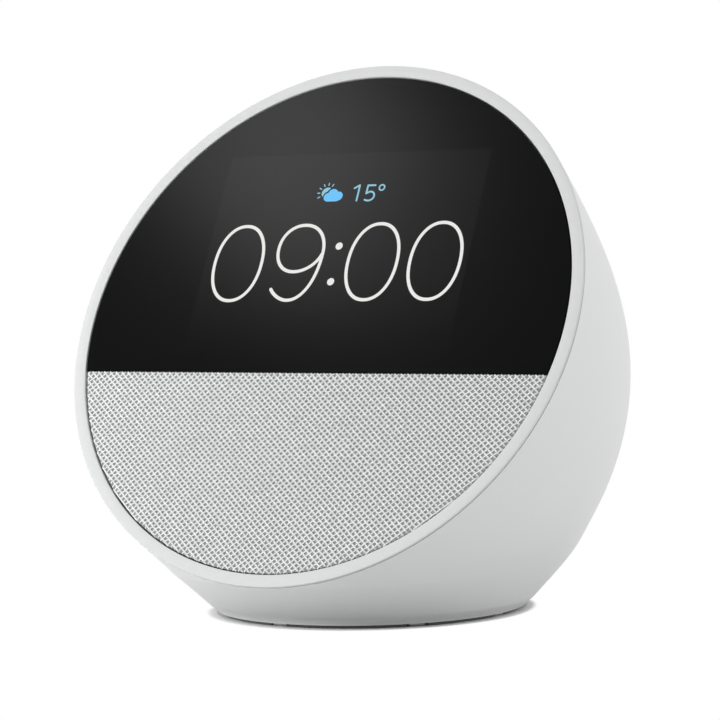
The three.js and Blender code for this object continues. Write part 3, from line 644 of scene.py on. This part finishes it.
for index, (button, strokes) in enumerate(button_signs.items()):
    middle = (index - 1) * button_pitch
    cut_out(shell, drum(button_radius + button_gap, above, control_depth, button_frame, middle))
    cap = wrapped(button + "_cap", cap_rows(middle))
    smoothed(cap, 50)
    cap.data.materials.append(white_plastic)
    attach(cap, button)
    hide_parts(button + "_button")
    marks = []
    for path in strokes:
        turned = [Vector((middle, 0)) - point for point in path]
        marks.append(band("mark", turned, sign_width, sign_spot, sign_thickness))
    sign = joined(button + "_sign", marks)
    sign.data.materials.append(sign_print)
    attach(sign, button)

# Microphone holes: two fine drilled holes behind the buttons, over the rubber boots of the
# microphones on the button board.
mic_side = 7.5
mic_back = 6.5
pinhole = 0.6
pinhole_sides = 32
for side in (-1, 1):
    hole_place = (side * mic_side, mic_back)
    cut_out(shell, drum(pinhole, above, control_depth, button_frame, *hole_place, pinhole_sides))
smoothed(shell)
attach(shell, "housing")
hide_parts("rear_shell")

# Base plate: a light grey moulded disc pressed into the foot from below, with a rib in each gap
# between the rubber pads and four screws that hold it to the shell.
plate_radius = 30.4
plate_under = 1.4
plate_over = 2.7
rib_under = 0.15
pad_radius = 30.2
pad_width = 5.0
pad_height = 1.1
pad_count = 8
pad_gap = 3.8
front_gaps = [math.radians(degrees) for degrees in (-96.3, -43, -3.5)]
foot_frame = frame_of((1, 0, 0), (0, 1, 0), (0, 0, 1), (0, face_y + foot_centre, 0))
screw_ring = 16.0
screw_radius = 2.4
screw_gap = 0.25
pocket_depth = 0.7
screw_angles = [math.pi * (2 * index + 1) / 4 for index in range(4)]
plate_edge = 0.3
groove_depth, groove_slope = 0.3, 0.4
groove_gap, groove_reach = 0.6, 4.6
groove_outer = pad_radius - pad_width - groove_gap
groove_inner = screw_ring + groove_reach
groove_top = -plate_under + groove_depth
plate_sides, screw_sides = 144, 48
plate_profile = [(0, -plate_over), (plate_radius, -plate_over), (plate_radius, -plate_under - plate_edge),
                 (plate_radius - plate_edge, -plate_under), (groove_outer, -plate_under),
                 (groove_outer - groove_depth, groove_top), (groove_inner + groove_slope, groove_top),
                 (groove_inner, -plate_under), (0, -plate_under)]
base_plate = wrapped("base_disc", turned_rows(plate_profile, foot_frame, plate_sides))
for angle in screw_angles:
    spot = (screw_ring * math.cos(angle), screw_ring * math.sin(angle))
    pocket_top = -plate_under - pocket_depth
    pocket = drum(screw_radius + screw_gap, pocket_top, 0, foot_frame, *spot, screw_sides)
    cut_out(base_plate, pocket)
ribs = [base_plate]
rib_gap = 0.3
rib_root = 0.5
rib_height = plate_under - rib_under + rib_root
pad_middle = pad_radius - pad_width / 2
back_count = pad_count + 1 - len(front_gaps)
back_pitch = (2 * math.pi + front_gaps[0] - front_gaps[-1]) / back_count
pad_gaps = front_gaps + [front_gaps[-1] + (step + 1) * back_pitch for step in range(back_count)]


def pick(piece, kind, test):
    """Select in edit mode only the edges or faces of a piece that pass a test."""
    bpy.ops.mesh.select_mode(type={"edges": "EDGE", "faces": "FACE"}[kind])
    bpy.ops.mesh.select_all(action="DESELECT")
    shape = bmesh.from_edit_mesh(piece.data)
    for element in getattr(shape, kind):
        if test(element):
            element.select_set(True)
    bmesh.update_edit_mesh(piece.data)


for index in range(pad_count):
    bpy.ops.object.select_all(action="DESELECT")
    bpy.ops.mesh.primitive_cube_add(size=mm)
    rib = bpy.context.object
    rib.data.transform(Matrix.Diagonal((pad_width, pad_gap - 2 * rib_gap, rib_height, 1)))
    bpy.ops.object.mode_set(mode="EDIT")
    pick(rib, "edges", lambda edge: all(vertex.co.z < 0 for vertex in edge.verts))
    bpy.ops.mesh.bevel(offset=plate_edge * mm, segments=3)
    bpy.ops.object.mode_set(mode="OBJECT")
    turn = Matrix.Rotation(pad_gaps[index], 4, "Z")
    lift = Matrix.Translation(Vector((pad_middle, 0, rib_under + rib_height / 2)) * mm)
    rib.data.transform(foot_frame @ turn @ lift)
    ribs.append(rib)
base_plate = joined("base_disc", ribs)
smoothed(base_plate)
grey_plastic = grained("grey_plastic", (0.66, 0.67, 0.67), 0.6, 0.4, 0.015, 0.03)
base_plate.data.materials.append(grey_plastic)
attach(base_plate, "housing")
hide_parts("base_plate")

# Screws: four pan-head steel screws with a cross recess, sunk into round pockets of the base
# plate. They are the fasteners that show from below.
head_sink, head_height = 0.1, 0.55
head_front = plate_under + head_sink
head_back = head_front + head_height
head_rounding = 0.35
recess_size = (2.6, 0.6, 0.8)
head = [(0, head_front), *rounded_corner(screw_radius, head_front, head_rounding)]
head += [(screw_radius, head_back), (0, head_back)]
for index, angle in enumerate(screw_angles):
    spot = Vector((screw_ring * math.cos(angle), screw_ring * math.sin(angle), 0))
    head_frame = foot_frame @ Matrix.Translation(spot * mm) @ Matrix.Rotation(math.pi, 4, "X")
    screw = wrapped(f"base_screw_{index + 1}", turned_rows(head, head_frame, screw_sides))
    for turn in (0, math.pi / 2):
        bpy.ops.object.select_all(action="DESELECT")
        bpy.ops.mesh.primitive_cube_add(size=mm)
        slot = bpy.context.object
        sized = Matrix.Rotation(turn + angle, 4, "Z") @ Matrix.Diagonal((*recess_size, 1))
        slot.data.transform(head_frame @ Matrix.Translation((0, 0, -head_front * mm)) @ sized)
        cut_out(screw, slot)
    smoothed(screw)
    screw.data.materials.append(steel)
    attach(screw, "housing")

# Foot pads: eight dark rubber arcs glued under the edge of the base plate, on which the clock
# stands. Moulded with softly rounded edges and a fine matte skin.
rubber = grained("rubber", (0.16, 0.162, 0.164), 0.85, 0.25, 0.02, 0.1)
pad_steps = 28
pad_edge = 0.22
sharp_angle = math.radians(60)
half_gap = pad_gap / pad_middle / 2
for index in range(pad_count):
    start, end = pad_gaps[index] + half_gap, pad_gaps[index + 1] - half_gap
    rows = []
    for radius in (pad_radius - pad_width, pad_radius):
        angles = [start + (end - start) * step / pad_steps for step in range(pad_steps + 1)]
        flat = [Vector((radius * math.cos(a), radius * math.sin(a), 0)) for a in angles]
        rows.append([foot_frame @ (point * mm) / mm for point in flat])
    pad = wrapped(f"rubber_pad_{index + 1}", rows)
    bpy.ops.object.mode_set(mode="EDIT")
    bpy.ops.mesh.select_all(action="SELECT")
    bpy.ops.mesh.extrude_region_move(TRANSFORM_OT_translate={"value": (0, 0, pad_height * mm)})
    bpy.ops.mesh.select_all(action="SELECT")
    bpy.ops.mesh.normals_make_consistent(inside=False)
    pick(pad, "edges", lambda edge: edge.calc_face_angle(0) > sharp_angle)
    bpy.ops.mesh.bevel(offset=pad_edge * mm, segments=3)
    bpy.ops.object.mode_set(mode="OBJECT")
    smoothed(pad, 40)
    pad.data.materials.append(rubber)
    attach(pad, "housing")
    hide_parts(f"foot_pad_{index + 1}")

# Inner pieces: the chassis, display, boards, loudspeaker, switches and leads that the housing
# hides. Their solids have the right shape, so each only gets the finish of its own material.


def patterned(name, low, high, texture, sockets, even, depth, stretch=(1, 1, 1)):
    """Finish whose colour and relief follow one texture between two colours."""
    material, place = new_finish(name, even)
    spread = place.node("Mapping", {}, {"Vector": place, "Scale": stretch})
    pattern = place.node(texture, {}, {"Vector": spread, **sockets})
    pattern.blend(low, high).feed("Base Color")
    relief = {"Height": pattern, "Strength": 0.4, "Distance": depth * mm}
    place.node("Bump", {}, relief).feed("Normal")
    return material


light_guide = patterned("light_guide", (0.80, 0.82, 0.82), (0.92, 0.93, 0.93), "TexVoronoi",
                        {"Scale": 900}, {"Roughness": 0.4}, 0.02)
panel_glass = patterned("panel_glass", (0.012, 0.013, 0.016), (0.03, 0.03, 0.04), "TexWave",
                        {"Scale": 1500}, {"Roughness": 0.2}, 0.002)
foam = patterned("foam", (0.015, 0.015, 0.016), (0.04, 0.04, 0.042), "TexVoronoi",
                 {"Scale": 2600}, {"Roughness": 0.95}, 0.1)
circuit = patterned("circuit_board", (0.012, 0.075, 0.040), (0.035, 0.17, 0.09), "TexBrick",
                    {"Scale": 260, "Mortar Size": 0.03}, {"Roughness": 0.45}, 0.02)
ferrite = patterned("ferrite", (0.030, 0.030, 0.032), (0.075, 0.074, 0.072), "TexNoise",
                    {"Scale": 3000, "Detail": 4}, {"Roughness": 0.7}, 0.02)
copper = patterned("copper", (0.42, 0.16, 0.06), (0.62, 0.27, 0.12), "TexWave",
                   {"Scale": 1200}, {"Roughness": 0.35, "Metallic": 1.0}, 0.05)
cone_paper = patterned("cone_paper", (0.020, 0.020, 0.021), (0.045, 0.045, 0.046), "TexNoise",
                       {"Scale": 1800, "Detail": 6}, {"Roughness": 0.9}, 0.05, (1, 1, 4))
amber_film = patterned("amber_film", (0.30, 0.14, 0.02), (0.50, 0.27, 0.05), "TexWave",
                       {"Scale": 800}, {"Roughness": 0.4}, 0.01)
aluminium = brushed("aluminium", (0.62, 0.63, 0.64), 0.4, (0.05, 1, 1))
switches = [button + "_switch" for button in button_signs]
plungers = [button + "_plunger" for button in button_signs]
inner_finishes = [
    (grey_plastic, ["inner_chassis"]),
    (black_plastic, ["grille_panel", "display_tray", "speaker_basket", "power_lead", *plungers]),
    (panel_glass, ["lcd_panel"]),
    (light_guide, ["backlight_panel"]),
    (foam, ["display_gasket", "speaker_gasket"]),
    (circuit, ["main_board", "button_board"]),
    (steel, ["processor_shield", "speaker_top_plate", "speaker_yoke", *switches]),
    (aluminium, ["heat_spreader"]),
    (ferrite, ["speaker_magnet"]),
    (copper, ["speaker_voice_coil", "speaker_lead_left", "speaker_lead_right"]),
    (cone_paper, ["speaker_cone", "speaker_dust_cap"]),
    (rubber, ["speaker_surround", "microphone_left", "microphone_right"]),
    (amber_film, ["speaker_spider", "display_ribbon"]),
]
for finish, nodes in inner_finishes:
    for node in nodes:
        for material_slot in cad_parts[node].material_slots:
            material_slot.material = finish

# Rim ring: the narrow pale ring round the face. Moulded in a smoother white plastic, it clips
# into the shell with a skirt, leaves a fine seam to it, and holds glass and cloth on a ledge.
pocket_radius = 54.0
ledge_radius = 51.5
ledge_front = 2.2
ledge_back = 3.2
flange_depth = 0.42
rim_rounding = 0.12
pocket_rounding = 0.15
skirt_inset = 1.3
face_right = Vector((1, 0, 0))
face_up = Vector((0, lean_sine, lean_cosine))
face_out = Vector((0, -lean_cosine, lean_sine))
face_origin = Vector((0, face_y, face_z))
face_frame = frame_of(face_right, face_up, face_out, face_origin)
rim_angles = full_turn(288)
rim_search = 9.0


def on_face(x, y, depth):
    """Point on a plane at a depth under the face, by its place across and up the face."""
    return face_origin + face_right * x + face_up * y - face_out * depth


def rim_ring(depth, inset):
    """Ring round the face at a depth, inside the edge of the housing."""
    ring = []
    for angle in rim_angles:
        across = face_right * math.cos(angle) + face_up * math.sin(angle)
        start = face_origin - face_out * depth
        edge = on_surface(start, across, rim_radius - rim_search, rim_radius + rim_search)
        ring.append(edge - across * inset)
    return ring


def face_ring(radius, depth):
    """Round ring on a plane at a depth under the face."""
    return [on_face(radius * math.cos(a), radius * math.sin(a), depth) for a in rim_angles]


bezel_rows = [face_ring(ledge_radius, ledge_front), face_ring(pocket_radius, ledge_front)]
bezel_rows += [face_ring(pocket_radius, pocket_rounding)]
pocket_turn = pocket_rounding * 0.3
bezel_rows += [face_ring(pocket_radius + pocket_turn, pocket_turn)]
bezel_rows += [face_ring(pocket_radius + pocket_rounding, 0)]
flank = rim_ring(rim_rounding, 0)
for radius, depth in rounded_corner(0, 0, rim_rounding, 6):
    ring = zip(rim_angles, flank)
    moved = [edge + (face_right * math.cos(a) + face_up * math.sin(a)) * radius for a, edge in ring]
    bezel_rows.append([point + face_out * (rim_rounding - depth) for point in moved])
bezel_rows += [rim_ring(flange_depth, 0), rim_ring(flange_depth, skirt_inset)]
bezel_rows += [rim_ring(ledge_back, skirt_inset), face_ring(ledge_radius, ledge_back)]
bezel_rows += [face_ring(ledge_radius, ledge_front)]
bezel = wrapped("rim_ring", bezel_rows)
smoothed(bezel)
rim_plastic = grained("rim_plastic", (0.685, 0.695, 0.69), 0.45, 0.5, 0.006, 0.01,
                      {"Specular IOR Level": 0.3})
bezel.data.materials.append(rim_plastic)
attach(bezel, "housing")
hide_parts("front_bezel")

# Display glass: a black glass segment over the straight line across the face, printed black on
# its back and polished in front, with finely ground edges. It is glued to the ledge of the rim.
chord = -0.2106 * rim_radius
chord_gap = 0.15
glass_edge = 0.05
bpy.ops.object.select_all(action="DESELECT")
bpy.ops.mesh.primitive_circle_add(vertices=360, radius=insert_radius * mm, fill_type="NGON")
glass = bpy.context.object
glass.name = glass.data.name = "display_glass"
bpy.ops.object.mode_set(mode="EDIT")
bpy.ops.mesh.select_all(action="SELECT")
cut_line = (0, (chord + chord_gap) * mm, 0)
bpy.ops.mesh.bisect(plane_co=cut_line, plane_no=(0, 1, 0), clear_inner=True, use_fill=False)
bpy.ops.mesh.select_all(action="SELECT")
thickness = lens_back - lens_front
bpy.ops.mesh.extrude_region_move(TRANSFORM_OT_translate={"value": (0, 0, -thickness * mm)})
bpy.ops.mesh.select_all(action="SELECT")
bpy.ops.mesh.normals_make_consistent(inside=False)
pick(glass, "edges", lambda edge: all(abs(vertex.co.z) < 1e-7 for vertex in edge.verts))
bpy.ops.mesh.bevel(offset=glass_edge * mm, segments=3)
bpy.ops.object.mode_set(mode="OBJECT")
glass.data.transform(face_frame @ Matrix.Translation((0, 0, -lens_front * mm)))
smoothed(glass, 10)
screen_half, screen_top, screen_low = 30.2, 36.6, -10.0
screen_soft = 0.3
screen_glow = 0.0045
even_glass = {"IOR": 1.5, "Specular IOR Level": 0.042, "Emission Strength": screen_glow}
black_glass, place = new_finish("black_glass", even_glass)
smear = place.node("TexNoise", {}, {"Vector": place, "Scale": 22, "Detail": 4})
smear.blend((0.0015, 0.0016, 0.0018), (0.0025, 0.0026, 0.0028)).feed("Base Color")
(0.15 + 0.03 * smear).feed("Roughness")


def along_axis(wire, axis, start):
    """How far a place lies along an axis from a start in millimetres."""
    dot = wire.node("VectorMath", {"operation": "DOT_PRODUCT"}, {0: wire, 1: axis}, "Value")
    return dot / mm - start


def ramp(wire, first, last):
    """Smooth rise from zero at the first value to one at the last."""
    reach = {0: wire, 1: first, 2: last, 3: 0.0, 4: 1.0}
    return wire.node("MapRange", {"interpolation_type": "SMOOTHSTEP"}, reach)


aside = place.math("ABSOLUTE", along_axis(place, face_right, 0))
upward = along_axis(place, face_up, face_origin.dot(face_up))
inside = ramp(aside, screen_half + screen_soft, screen_half - screen_soft)
below = ramp(upward, screen_top + screen_soft, screen_top - screen_soft)
fading = ramp(upward, screen_low, -screen_low)
(inside * below * fading).feed("Emission Color")
glass.data.materials.append(black_glass)
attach(glass, "housing")
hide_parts("display_lens")

# Lit time: four thin upright figures and a colon, lit by the display behind the glass and seen
# at its surface. They are strokes of one even width in a warm white.
digit_width = 0.70
figure_lift = 0.02
image_thickness = 0.06
digit_top, digit_low = 20.85, 3.5


def lit_spot(x, y):
    """Place of a lit point at the surface of the glass."""
    return on_face(x, y, lens_front - figure_lift)


def lit(name, colour, strength):
    """Lit display image: even light broken by the fine grid of the display's cells."""
    even = {"Roughness": 0.3, "Specular IOR Level": 0.05, "Emission Strength": strength}
    material, place = new_finish(name, even)
    cells = place.node("TexWave", {"bands_direction": "X"}, {"Vector": place, "Scale": 1600})
    dim = [value * 0.92 for value in colour]
    cells.blend(dim, colour).feed("Emission Color")
    dark = [value * 0.1 for value in colour]
    cells.blend([value * 0.92 for value in dark], dark).feed("Base Color")
    return material


inset = digit_width / 2
digit_middle = (digit_top + digit_low) / 2
digit_half = (digit_top - digit_low) / 2 - inset
zero_half = 5.93 - inset
nine = [(-12.95, 6.3), (-11.2, digit_low + inset), (-8.65, digit_low + inset),
        (-2.85, digit_low + inset), (-2.85, 14.2), (-2.85, digit_top - inset),
        (-8.35, digit_top - inset), (-13.4, digit_top - inset), (-13.4, 15.3), (-13.4, 10.15),
        (-8.7, 10.15), (-4.3, 10.15), (-3.0, 14.0)]
figures = [band("figure", corner_path(nine, 16, 2.12), digit_width, lit_spot, image_thickness)]
for middle in (-22.25, 9.0, 23.05):
    path = oval(middle, digit_middle, zero_half, digit_half, 2.15, 20)
    figures.append(band("figure", path, digit_width, lit_spot, image_thickness))
for height in (15.7, 7.85):
    dot = oval(0.55, height, 0.4, 0.4, 2.0, 6)
    figures.append(band("figure", dot, 0.8, lit_spot, image_thickness))
time_figures = joined("time_figures", figures)
warm_white = lit("lit_white", (0.82, 0.81, 0.79), 0.95)
time_figures.data.materials.append(warm_white)
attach(time_figures, "housing")

# Lit weather: a small sun behind a cloud, and a temperature in thin figures, lit in light blue
# by the same display.
sky_blue = lit("lit_blue", (0.16, 0.54, 0.93), 0.95)
pale_blue = lit("lit_pale_blue", (0.28, 0.56, 0.70), 0.95)
sun_x, sun_y, sun_radius = -5.25, 27.69, 1.25
ray_near, ray_far, ray_width = 1.72, 2.2, 0.23
image_parts = []


def way_to(degrees):
    """Direction across the glass at an angle from its right."""
    return Vector((math.cos(math.radians(degrees)), math.sin(math.radians(degrees))))


sun_middle = Vector((sun_x, sun_y))
for degrees in range(60, 211, 30):
    path = [sun_middle + way_to(degrees) * reach for reach in (ray_near, ray_far)]
    image_parts.append(band("ray", path, ray_width, lit_spot, image_thickness))
cloud_gap = 0.34
cloud_base, base_half = 25.75, 1.3
lobes = [(-4.88, 26.75, 0.93), (-3.81, 27.36, 1.19), (-2.48, 26.9, 1.02)]
edge_degrees = range(0, 361, 4)


def filled(name, outline, middle):
    """Flat lit shape on the glass, filled from its middle to its outline."""
    rows = [[lit_spot(*middle.lerp(point, share)) for point in outline] for share in (0, 0.5, 1)]
    return thickened(wrapped(name, rows), image_thickness)


def cloud_edge(middle, way):
    """Outermost point of the cloud's lobes and flat base from its middle, in a direction."""
    farthest = 0
    for x, y, radius in lobes:
        offset = Vector((x, y)) - middle
        along = offset.dot(way)
        clear = radius**2 - (offset.length_squared - along**2)
        if clear > 0:
            farthest = max(farthest, along + math.sqrt(clear))
    if way.y < 0:
        base = (middle.y - cloud_base) / -way.y
        farthest = min(max(farthest, base if abs(way.x * base) < base_half else 0), base)
    return middle + way * farthest


cloud_middle = Vector((-3.8, 26.8))
cloud_outline = [cloud_edge(cloud_middle, way_to(degrees)) for degrees in edge_degrees]
cloud = filled("weather_cloud", cloud_outline, cloud_middle)
cloud.data.materials.append(sky_blue)
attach(cloud, "housing")

sun_heart = sun_middle + Vector((-0.45, 0.55))
sun_steps = 40


def sun_edge(way):
    """Edge of the sun in a direction, kept clear of the cloud by the dark gap between them."""
    for step in range(sun_steps):
        spot = sun_heart + way * 2 * sun_radius * (1 - step / sun_steps)
        in_sun = (spot - sun_middle).length < sun_radius
        if in_sun and all((spot - Vector((x, y))).length > r + cloud_gap for x, y, r in lobes):
            break
    return spot


sun_outline = [sun_edge(way_to(degrees)) for degrees in edge_degrees]
image_parts.append(filled("sun", sun_outline, sun_heart))
sun = joined("weather_sun", image_parts)
sun.data.materials.append(pale_blue)
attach(sun, "housing")

text_width, degree_width = 0.39, 0.32
five_bowl = [(3.98, 27.35), (4.4, 27.75), (4.85, 27.75), (5.85, 27.75), (5.85, 26.72),
             (5.85, 25.75), (4.7, 25.75), (4.15, 25.75), (3.85, 25.95)]
temperature_strokes = [
    (line((0.92, 28.6), (2.0, 29.25)), text_width),
    (line((2.02, 29.2), (2.02, 25.8)), text_width),
    (line((5.62, 29.15), (4.0, 29.15)), text_width),
    (line((3.95, 29.15), (3.9, 27.4)), text_width),
    (corner_path(five_bowl, 10), text_width),
    (oval(7.22, 28.6, 0.6, 0.6, 2.0, 8), degree_width),
]
temperature = joined("temperature_figures", [
    band("figure", path, width, lit_spot, image_thickness) for path, width in temperature_strokes
])
temperature.data.materials.append(pale_blue)
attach(temperature, "housing")

# Speaker cloth: a fine grey ground cloth stretched over the perforated carrier below the glass,
# its edge turned down into the gap to the rim ring. It is held only by its tucked edge.
cloth_lap, cloth_clear = 0.03, 0.05
cloth_chord = chord + cloth_lap
cloth_radius = insert_radius - cloth_clear
cloth_turn = 0.5
side_drop, top_drop, ground_share = 0.3, 0.1, 0.2
ground_depth = 0.42
ground_thickness = 0.1
ground_steps, ground_columns = 60, 160


def cloth_drop(x, y):
    """How far the cloth has turned down at a place near its edge."""
    side = 1 - min(max((cloth_radius - math.hypot(x, y)) / cloth_turn, 0), 1)
    top = 1 - min(max((cloth_chord - y) / cloth_turn, 0), 1)
    return side_drop * (1 - math.sqrt(1 - side**2)) + top_drop * (1 - math.sqrt(1 - top**2))


ground_rows = []
for step in range(ground_steps + 1):
    share = (1 - math.cos(math.pi * step / ground_steps)) / 2
    y = -cloth_radius + (cloth_radius + cloth_chord) * share
    half_width = math.sqrt(max(cloth_radius**2 - y**2, 0))
    row = []
    for column in range(ground_columns + 1):
        x = half_width * math.sin(math.pi * (column / ground_columns - 0.5))
        row.append(on_face(x, y, ground_depth + ground_share * cloth_drop(x, y)))
    ground_rows.append(row)
ground = thickened(wrapped("speaker_cloth", ground_rows), ground_thickness)
smoothed(ground, 40)
thread_angle = math.radians(40.5)
thread_pitch = 0.937
ground_cloth, place = new_finish("ground_cloth", {"Roughness": 0.9})
flat = place.node("Mapping", {}, {"Vector": place, "Rotation": (face_lean - math.pi / 2, 0, 0)})
fine = []
for turn in (thread_angle, -thread_angle):
    laid = place.node("Mapping", {}, {"Vector": flat, "Rotation": (0, 0, turn)})
    bands = {"Vector": laid, "Scale": math.pi / (10 * thread_pitch * mm) * 2, "Phase Offset": math.pi}
    fine.append(place.node("TexWave", {"bands_direction": "Y"}, bands))
uneven = place.node("TexNoise", {}, {"Vector": place, "Scale": 2000, "Detail": 2})
under = fine[0] * 0.45 + fine[1] * 0.15 + uneven * 0.8 - 0.2
under.blend((0.18, 0.185, 0.185), (0.50, 0.51, 0.51)).feed("Base Color")
ground.data.materials.append(ground_cloth)
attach(ground, "housing")
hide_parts("grille_fabric")

# Cloth threads: the white threads of the cloth's open weave, which cross on the two diagonals
# and pass over and under each other. They lie on the ground cloth and end in its tucked edge.
thread_half = 0.17
thread_thin = 0.085
thread_wave = 0.07
thread_depth = 0.29
thread_sides = 6
end_share = 0.2


def thread_range(offset, turn):
    """Where a thread at an offset enters and leaves the cloth, along its own direction."""
    half = math.sqrt(max(cloth_radius**2 - offset**2, 0))
    limit = (cloth_chord - offset * math.cos(turn)) / math.sin(turn)
    return (-half, min(half, limit)) if turn > 0 else (max(-half, limit), half)


def crossing(reach, offset, turn):
    """Count of the crossing threads between the middle and a place along a thread."""
    return (reach * math.sin(2 * turn) + offset * math.cos(2 * turn)) / thread_pitch


def thread_places(offset, turn):
    """Both ends of a thread, with each crossing and each middle between two of them."""
    ends = thread_range(offset, turn)
    if ends[1] - ends[0] < thread_pitch:
        return []
    first, final = sorted(crossing(end, offset, turn) for end in ends)
    halves = range(math.ceil(2 * first + end_share), math.floor(2 * final - end_share) + 1)
    shift, slant = offset * math.cos(2 * turn), math.sin(2 * turn)
    return [ends[0], *sorted((half / 2 * thread_pitch - shift) / slant for half in halves), ends[1]]


thread_points, thread_faces = [], []
last_thread = int(cloth_radius / thread_pitch)
for turn in (thread_angle, -thread_angle):
    along = Vector((math.cos(turn), math.sin(turn)))
    across = Vector((-along.y, along.x))
    for number in range(-last_thread, last_thread + 1):
        offset = number * thread_pitch
        places = thread_places(offset, turn)
        rings = []
        for reach in places:
            spot = along * reach + across * offset
            wave = math.cos(math.pi * (crossing(reach, offset, turn) + number))
            depth = thread_depth - math.copysign(thread_wave, turn) * wave + cloth_drop(*spot)
            rings.append(range(len(thread_points), len(thread_points) + thread_sides))
            for side in range(thread_sides):
                angle = 2 * math.pi * side / thread_sides
                rim = spot + across * thread_half * math.cos(angle)
                thread_points.append(on_face(*rim, depth - thread_thin * math.sin(angle)) * mm)
        for ring, following in zip(rings, rings[1:]):
            for side in range(thread_sides):
                beside = (side + 1) % thread_sides
                thread_faces.append((ring[side], ring[beside], following[beside], following[side]))
        if rings:
            thread_faces += [tuple(rings[0])[::-1], tuple(rings[-1])]
thread_mesh = bpy.data.meshes.new("cloth_threads")
thread_mesh.from_pydata(thread_points, [], thread_faces)
threads = bpy.data.objects.new("cloth_threads", thread_mesh)
bpy.context.scene.collection.objects.link(threads)
smoothed(threads, 80)
thread_white, place = new_finish("thread_white", {"Roughness": 0.8, "Sheen Weight": 0.2})
fibre = place.node("TexNoise", {}, {"Vector": place, "Scale": 5000, "Detail": 2})
uneven = place.node("TexNoise", {}, {"Vector": place, "Scale": 1700, "Detail": 2})
mottle = ramp(0.5 * fibre + 0.5 * uneven, 0.25, 0.75)
mottle.blend((0.62, 0.63, 0.63), (0.99, 1.0, 1.0)).feed("Base Color")
relief = {"Height": fibre, "Strength": 0.5, "Distance": 0.02 * mm}
place.node("Bump", {}, relief).feed("Normal")
threads.data.materials.append(thread_white)
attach(threads, "housing")

# Studio: a white floor that keeps the shadow, with painted shade near the foot in the light it throws
# back, soft light from the upper left and a large fill from the right, and a camera at the viewing angle
# of the photograph.
scene = bpy.context.scene
scene.view_settings.view_transform = "Standard"
bpy.ops.object.select_all(action="DESELECT")
floor_radius = 6.0
bpy.ops.mesh.primitive_circle_add(vertices=128, radius=floor_radius, fill_type="NGON")
floor = bpy.context.object
floor.name = "floor"


def seen(wire):
    """One for rays that show a surface in the picture or in a reflection, zero for light."""
    kinds = ("Is Camera Ray", "Is Glossy Ray", "Is Transmission Ray")
    paths = [wire.node("LightPath", {}, {}, kind) for kind in kinds]
    return wire.math("MINIMUM", paths[0] + paths[1] + paths[2], 1.0)


shadow_near, shadow_far = 0.0322, 0.0337
# Painted shade: for light that bounces off the floor, its colour is darker close to the foot, standing in
# for the shade under the clock.
painted_shade_start, painted_shade_end = 0.033, 0.053
painted_shade_bounce, bounce_far = 0.42, 0.83
floor_white, place = new_finish("floor_white", {"Roughness": 0.9, "Specular IOR Level": 0.0})
tree = floor_white.node_tree
shown = seen(place)
bright = place.node("Emission", {}, {"Color": (1, 1, 1, 1), "Strength": 1.0})
shader = Wire(tree, tree.nodes["Principled BSDF"].outputs[0])
foot_place = (0, (face_y + foot_centre) * mm, 0)
far_away = place.node("VectorMath", {"operation": "DISTANCE"}, {0: place, 1: foot_place}, "Value")
# Painted shade: the floor's colour for light rays, dark near the foot and rising to the plain floor
# colour further out.
bounce_with_painted_shade = painted_shade_bounce + (bounce_far - painted_shade_bounce) * ramp(far_away, painted_shade_start, painted_shade_end)
(shown + (1 - shown) * bounce_with_painted_shade).feed("Base Color")
clear = ramp(far_away, shadow_near, shadow_far)
lifted = place.node("MixShader", {}, {0: shown * clear, 1: shader, 2: bright})
tree.links.new(lifted.socket, tree.nodes["Material Output"].inputs["Surface"])
floor.data.materials.append(floor_white)

world = bpy.data.worlds.new("studio")
world.use_nodes = True
scene.world = world
direct = seen(Wire(world.node_tree))
sky_level = 0.64
background = world.node_tree.nodes["Background"]
background.inputs["Color"].default_value = (1, 1, 1, 1)
level = direct * (1 - sky_level) + sky_level
world.node_tree.links.new(level.socket, background.inputs["Strength"])


def soft_light(name, place, size, power, lights_matte=True, lights_gloss=True):
    """Square soft box at a place, turned to the clock."""
    lamp = bpy.data.lights.new(name, "AREA")
    lamp.size, lamp.energy = size, power
    box = bpy.data.objects.new(name, lamp)
    box.location = place
    box.rotation_euler = (Vector(place) - face_origin * mm).to_track_quat("Z", "Y").to_euler()
    box.visible_camera = False
    box.visible_diffuse, box.visible_glossy = lights_matte, lights_gloss
    scene.collection.objects.link(box)


soft_light("key_light", (-0.24, -0.30, 0.11), 0.12, 0.72, lights_gloss=False)
soft_light("fill_light", (1.16, 0.42, 0.15), 1.0, 5.7, lights_gloss=False)
soft_light("glass_light", (-0.695, -0.610, 1.02), 0.13, 0.95, lights_matte=False)

azimuth, elevation, roll = (math.radians(angle) for angle in (30.30, 2.92, -1.42))
camera_distance = 592.0
aim = face_origin + Vector((6.72, 3.93, -8.56))
level_right = Vector((math.cos(azimuth), math.sin(azimuth), 0))
level_back = Vector((math.sin(azimuth), -math.cos(azimuth), 0))
back = level_back * math.cos(elevation) + Vector((0, 0, math.sin(elevation)))
level_up = back.cross(level_right)
right = level_right * math.cos(roll) + level_up * math.sin(roll)
up = level_up * math.cos(roll) - level_right * math.sin(roll)
lens = bpy.data.cameras.new("camera")
lens.sensor_width, lens.lens = 36.0, 150.5
lens.clip_start, lens.clip_end = 0.01, 50
camera = bpy.data.objects.new("camera", lens)
camera.matrix_world = frame_of(right, up, back, aim + back * camera_distance)
scene.collection.objects.link(camera)
scene.camera = camera
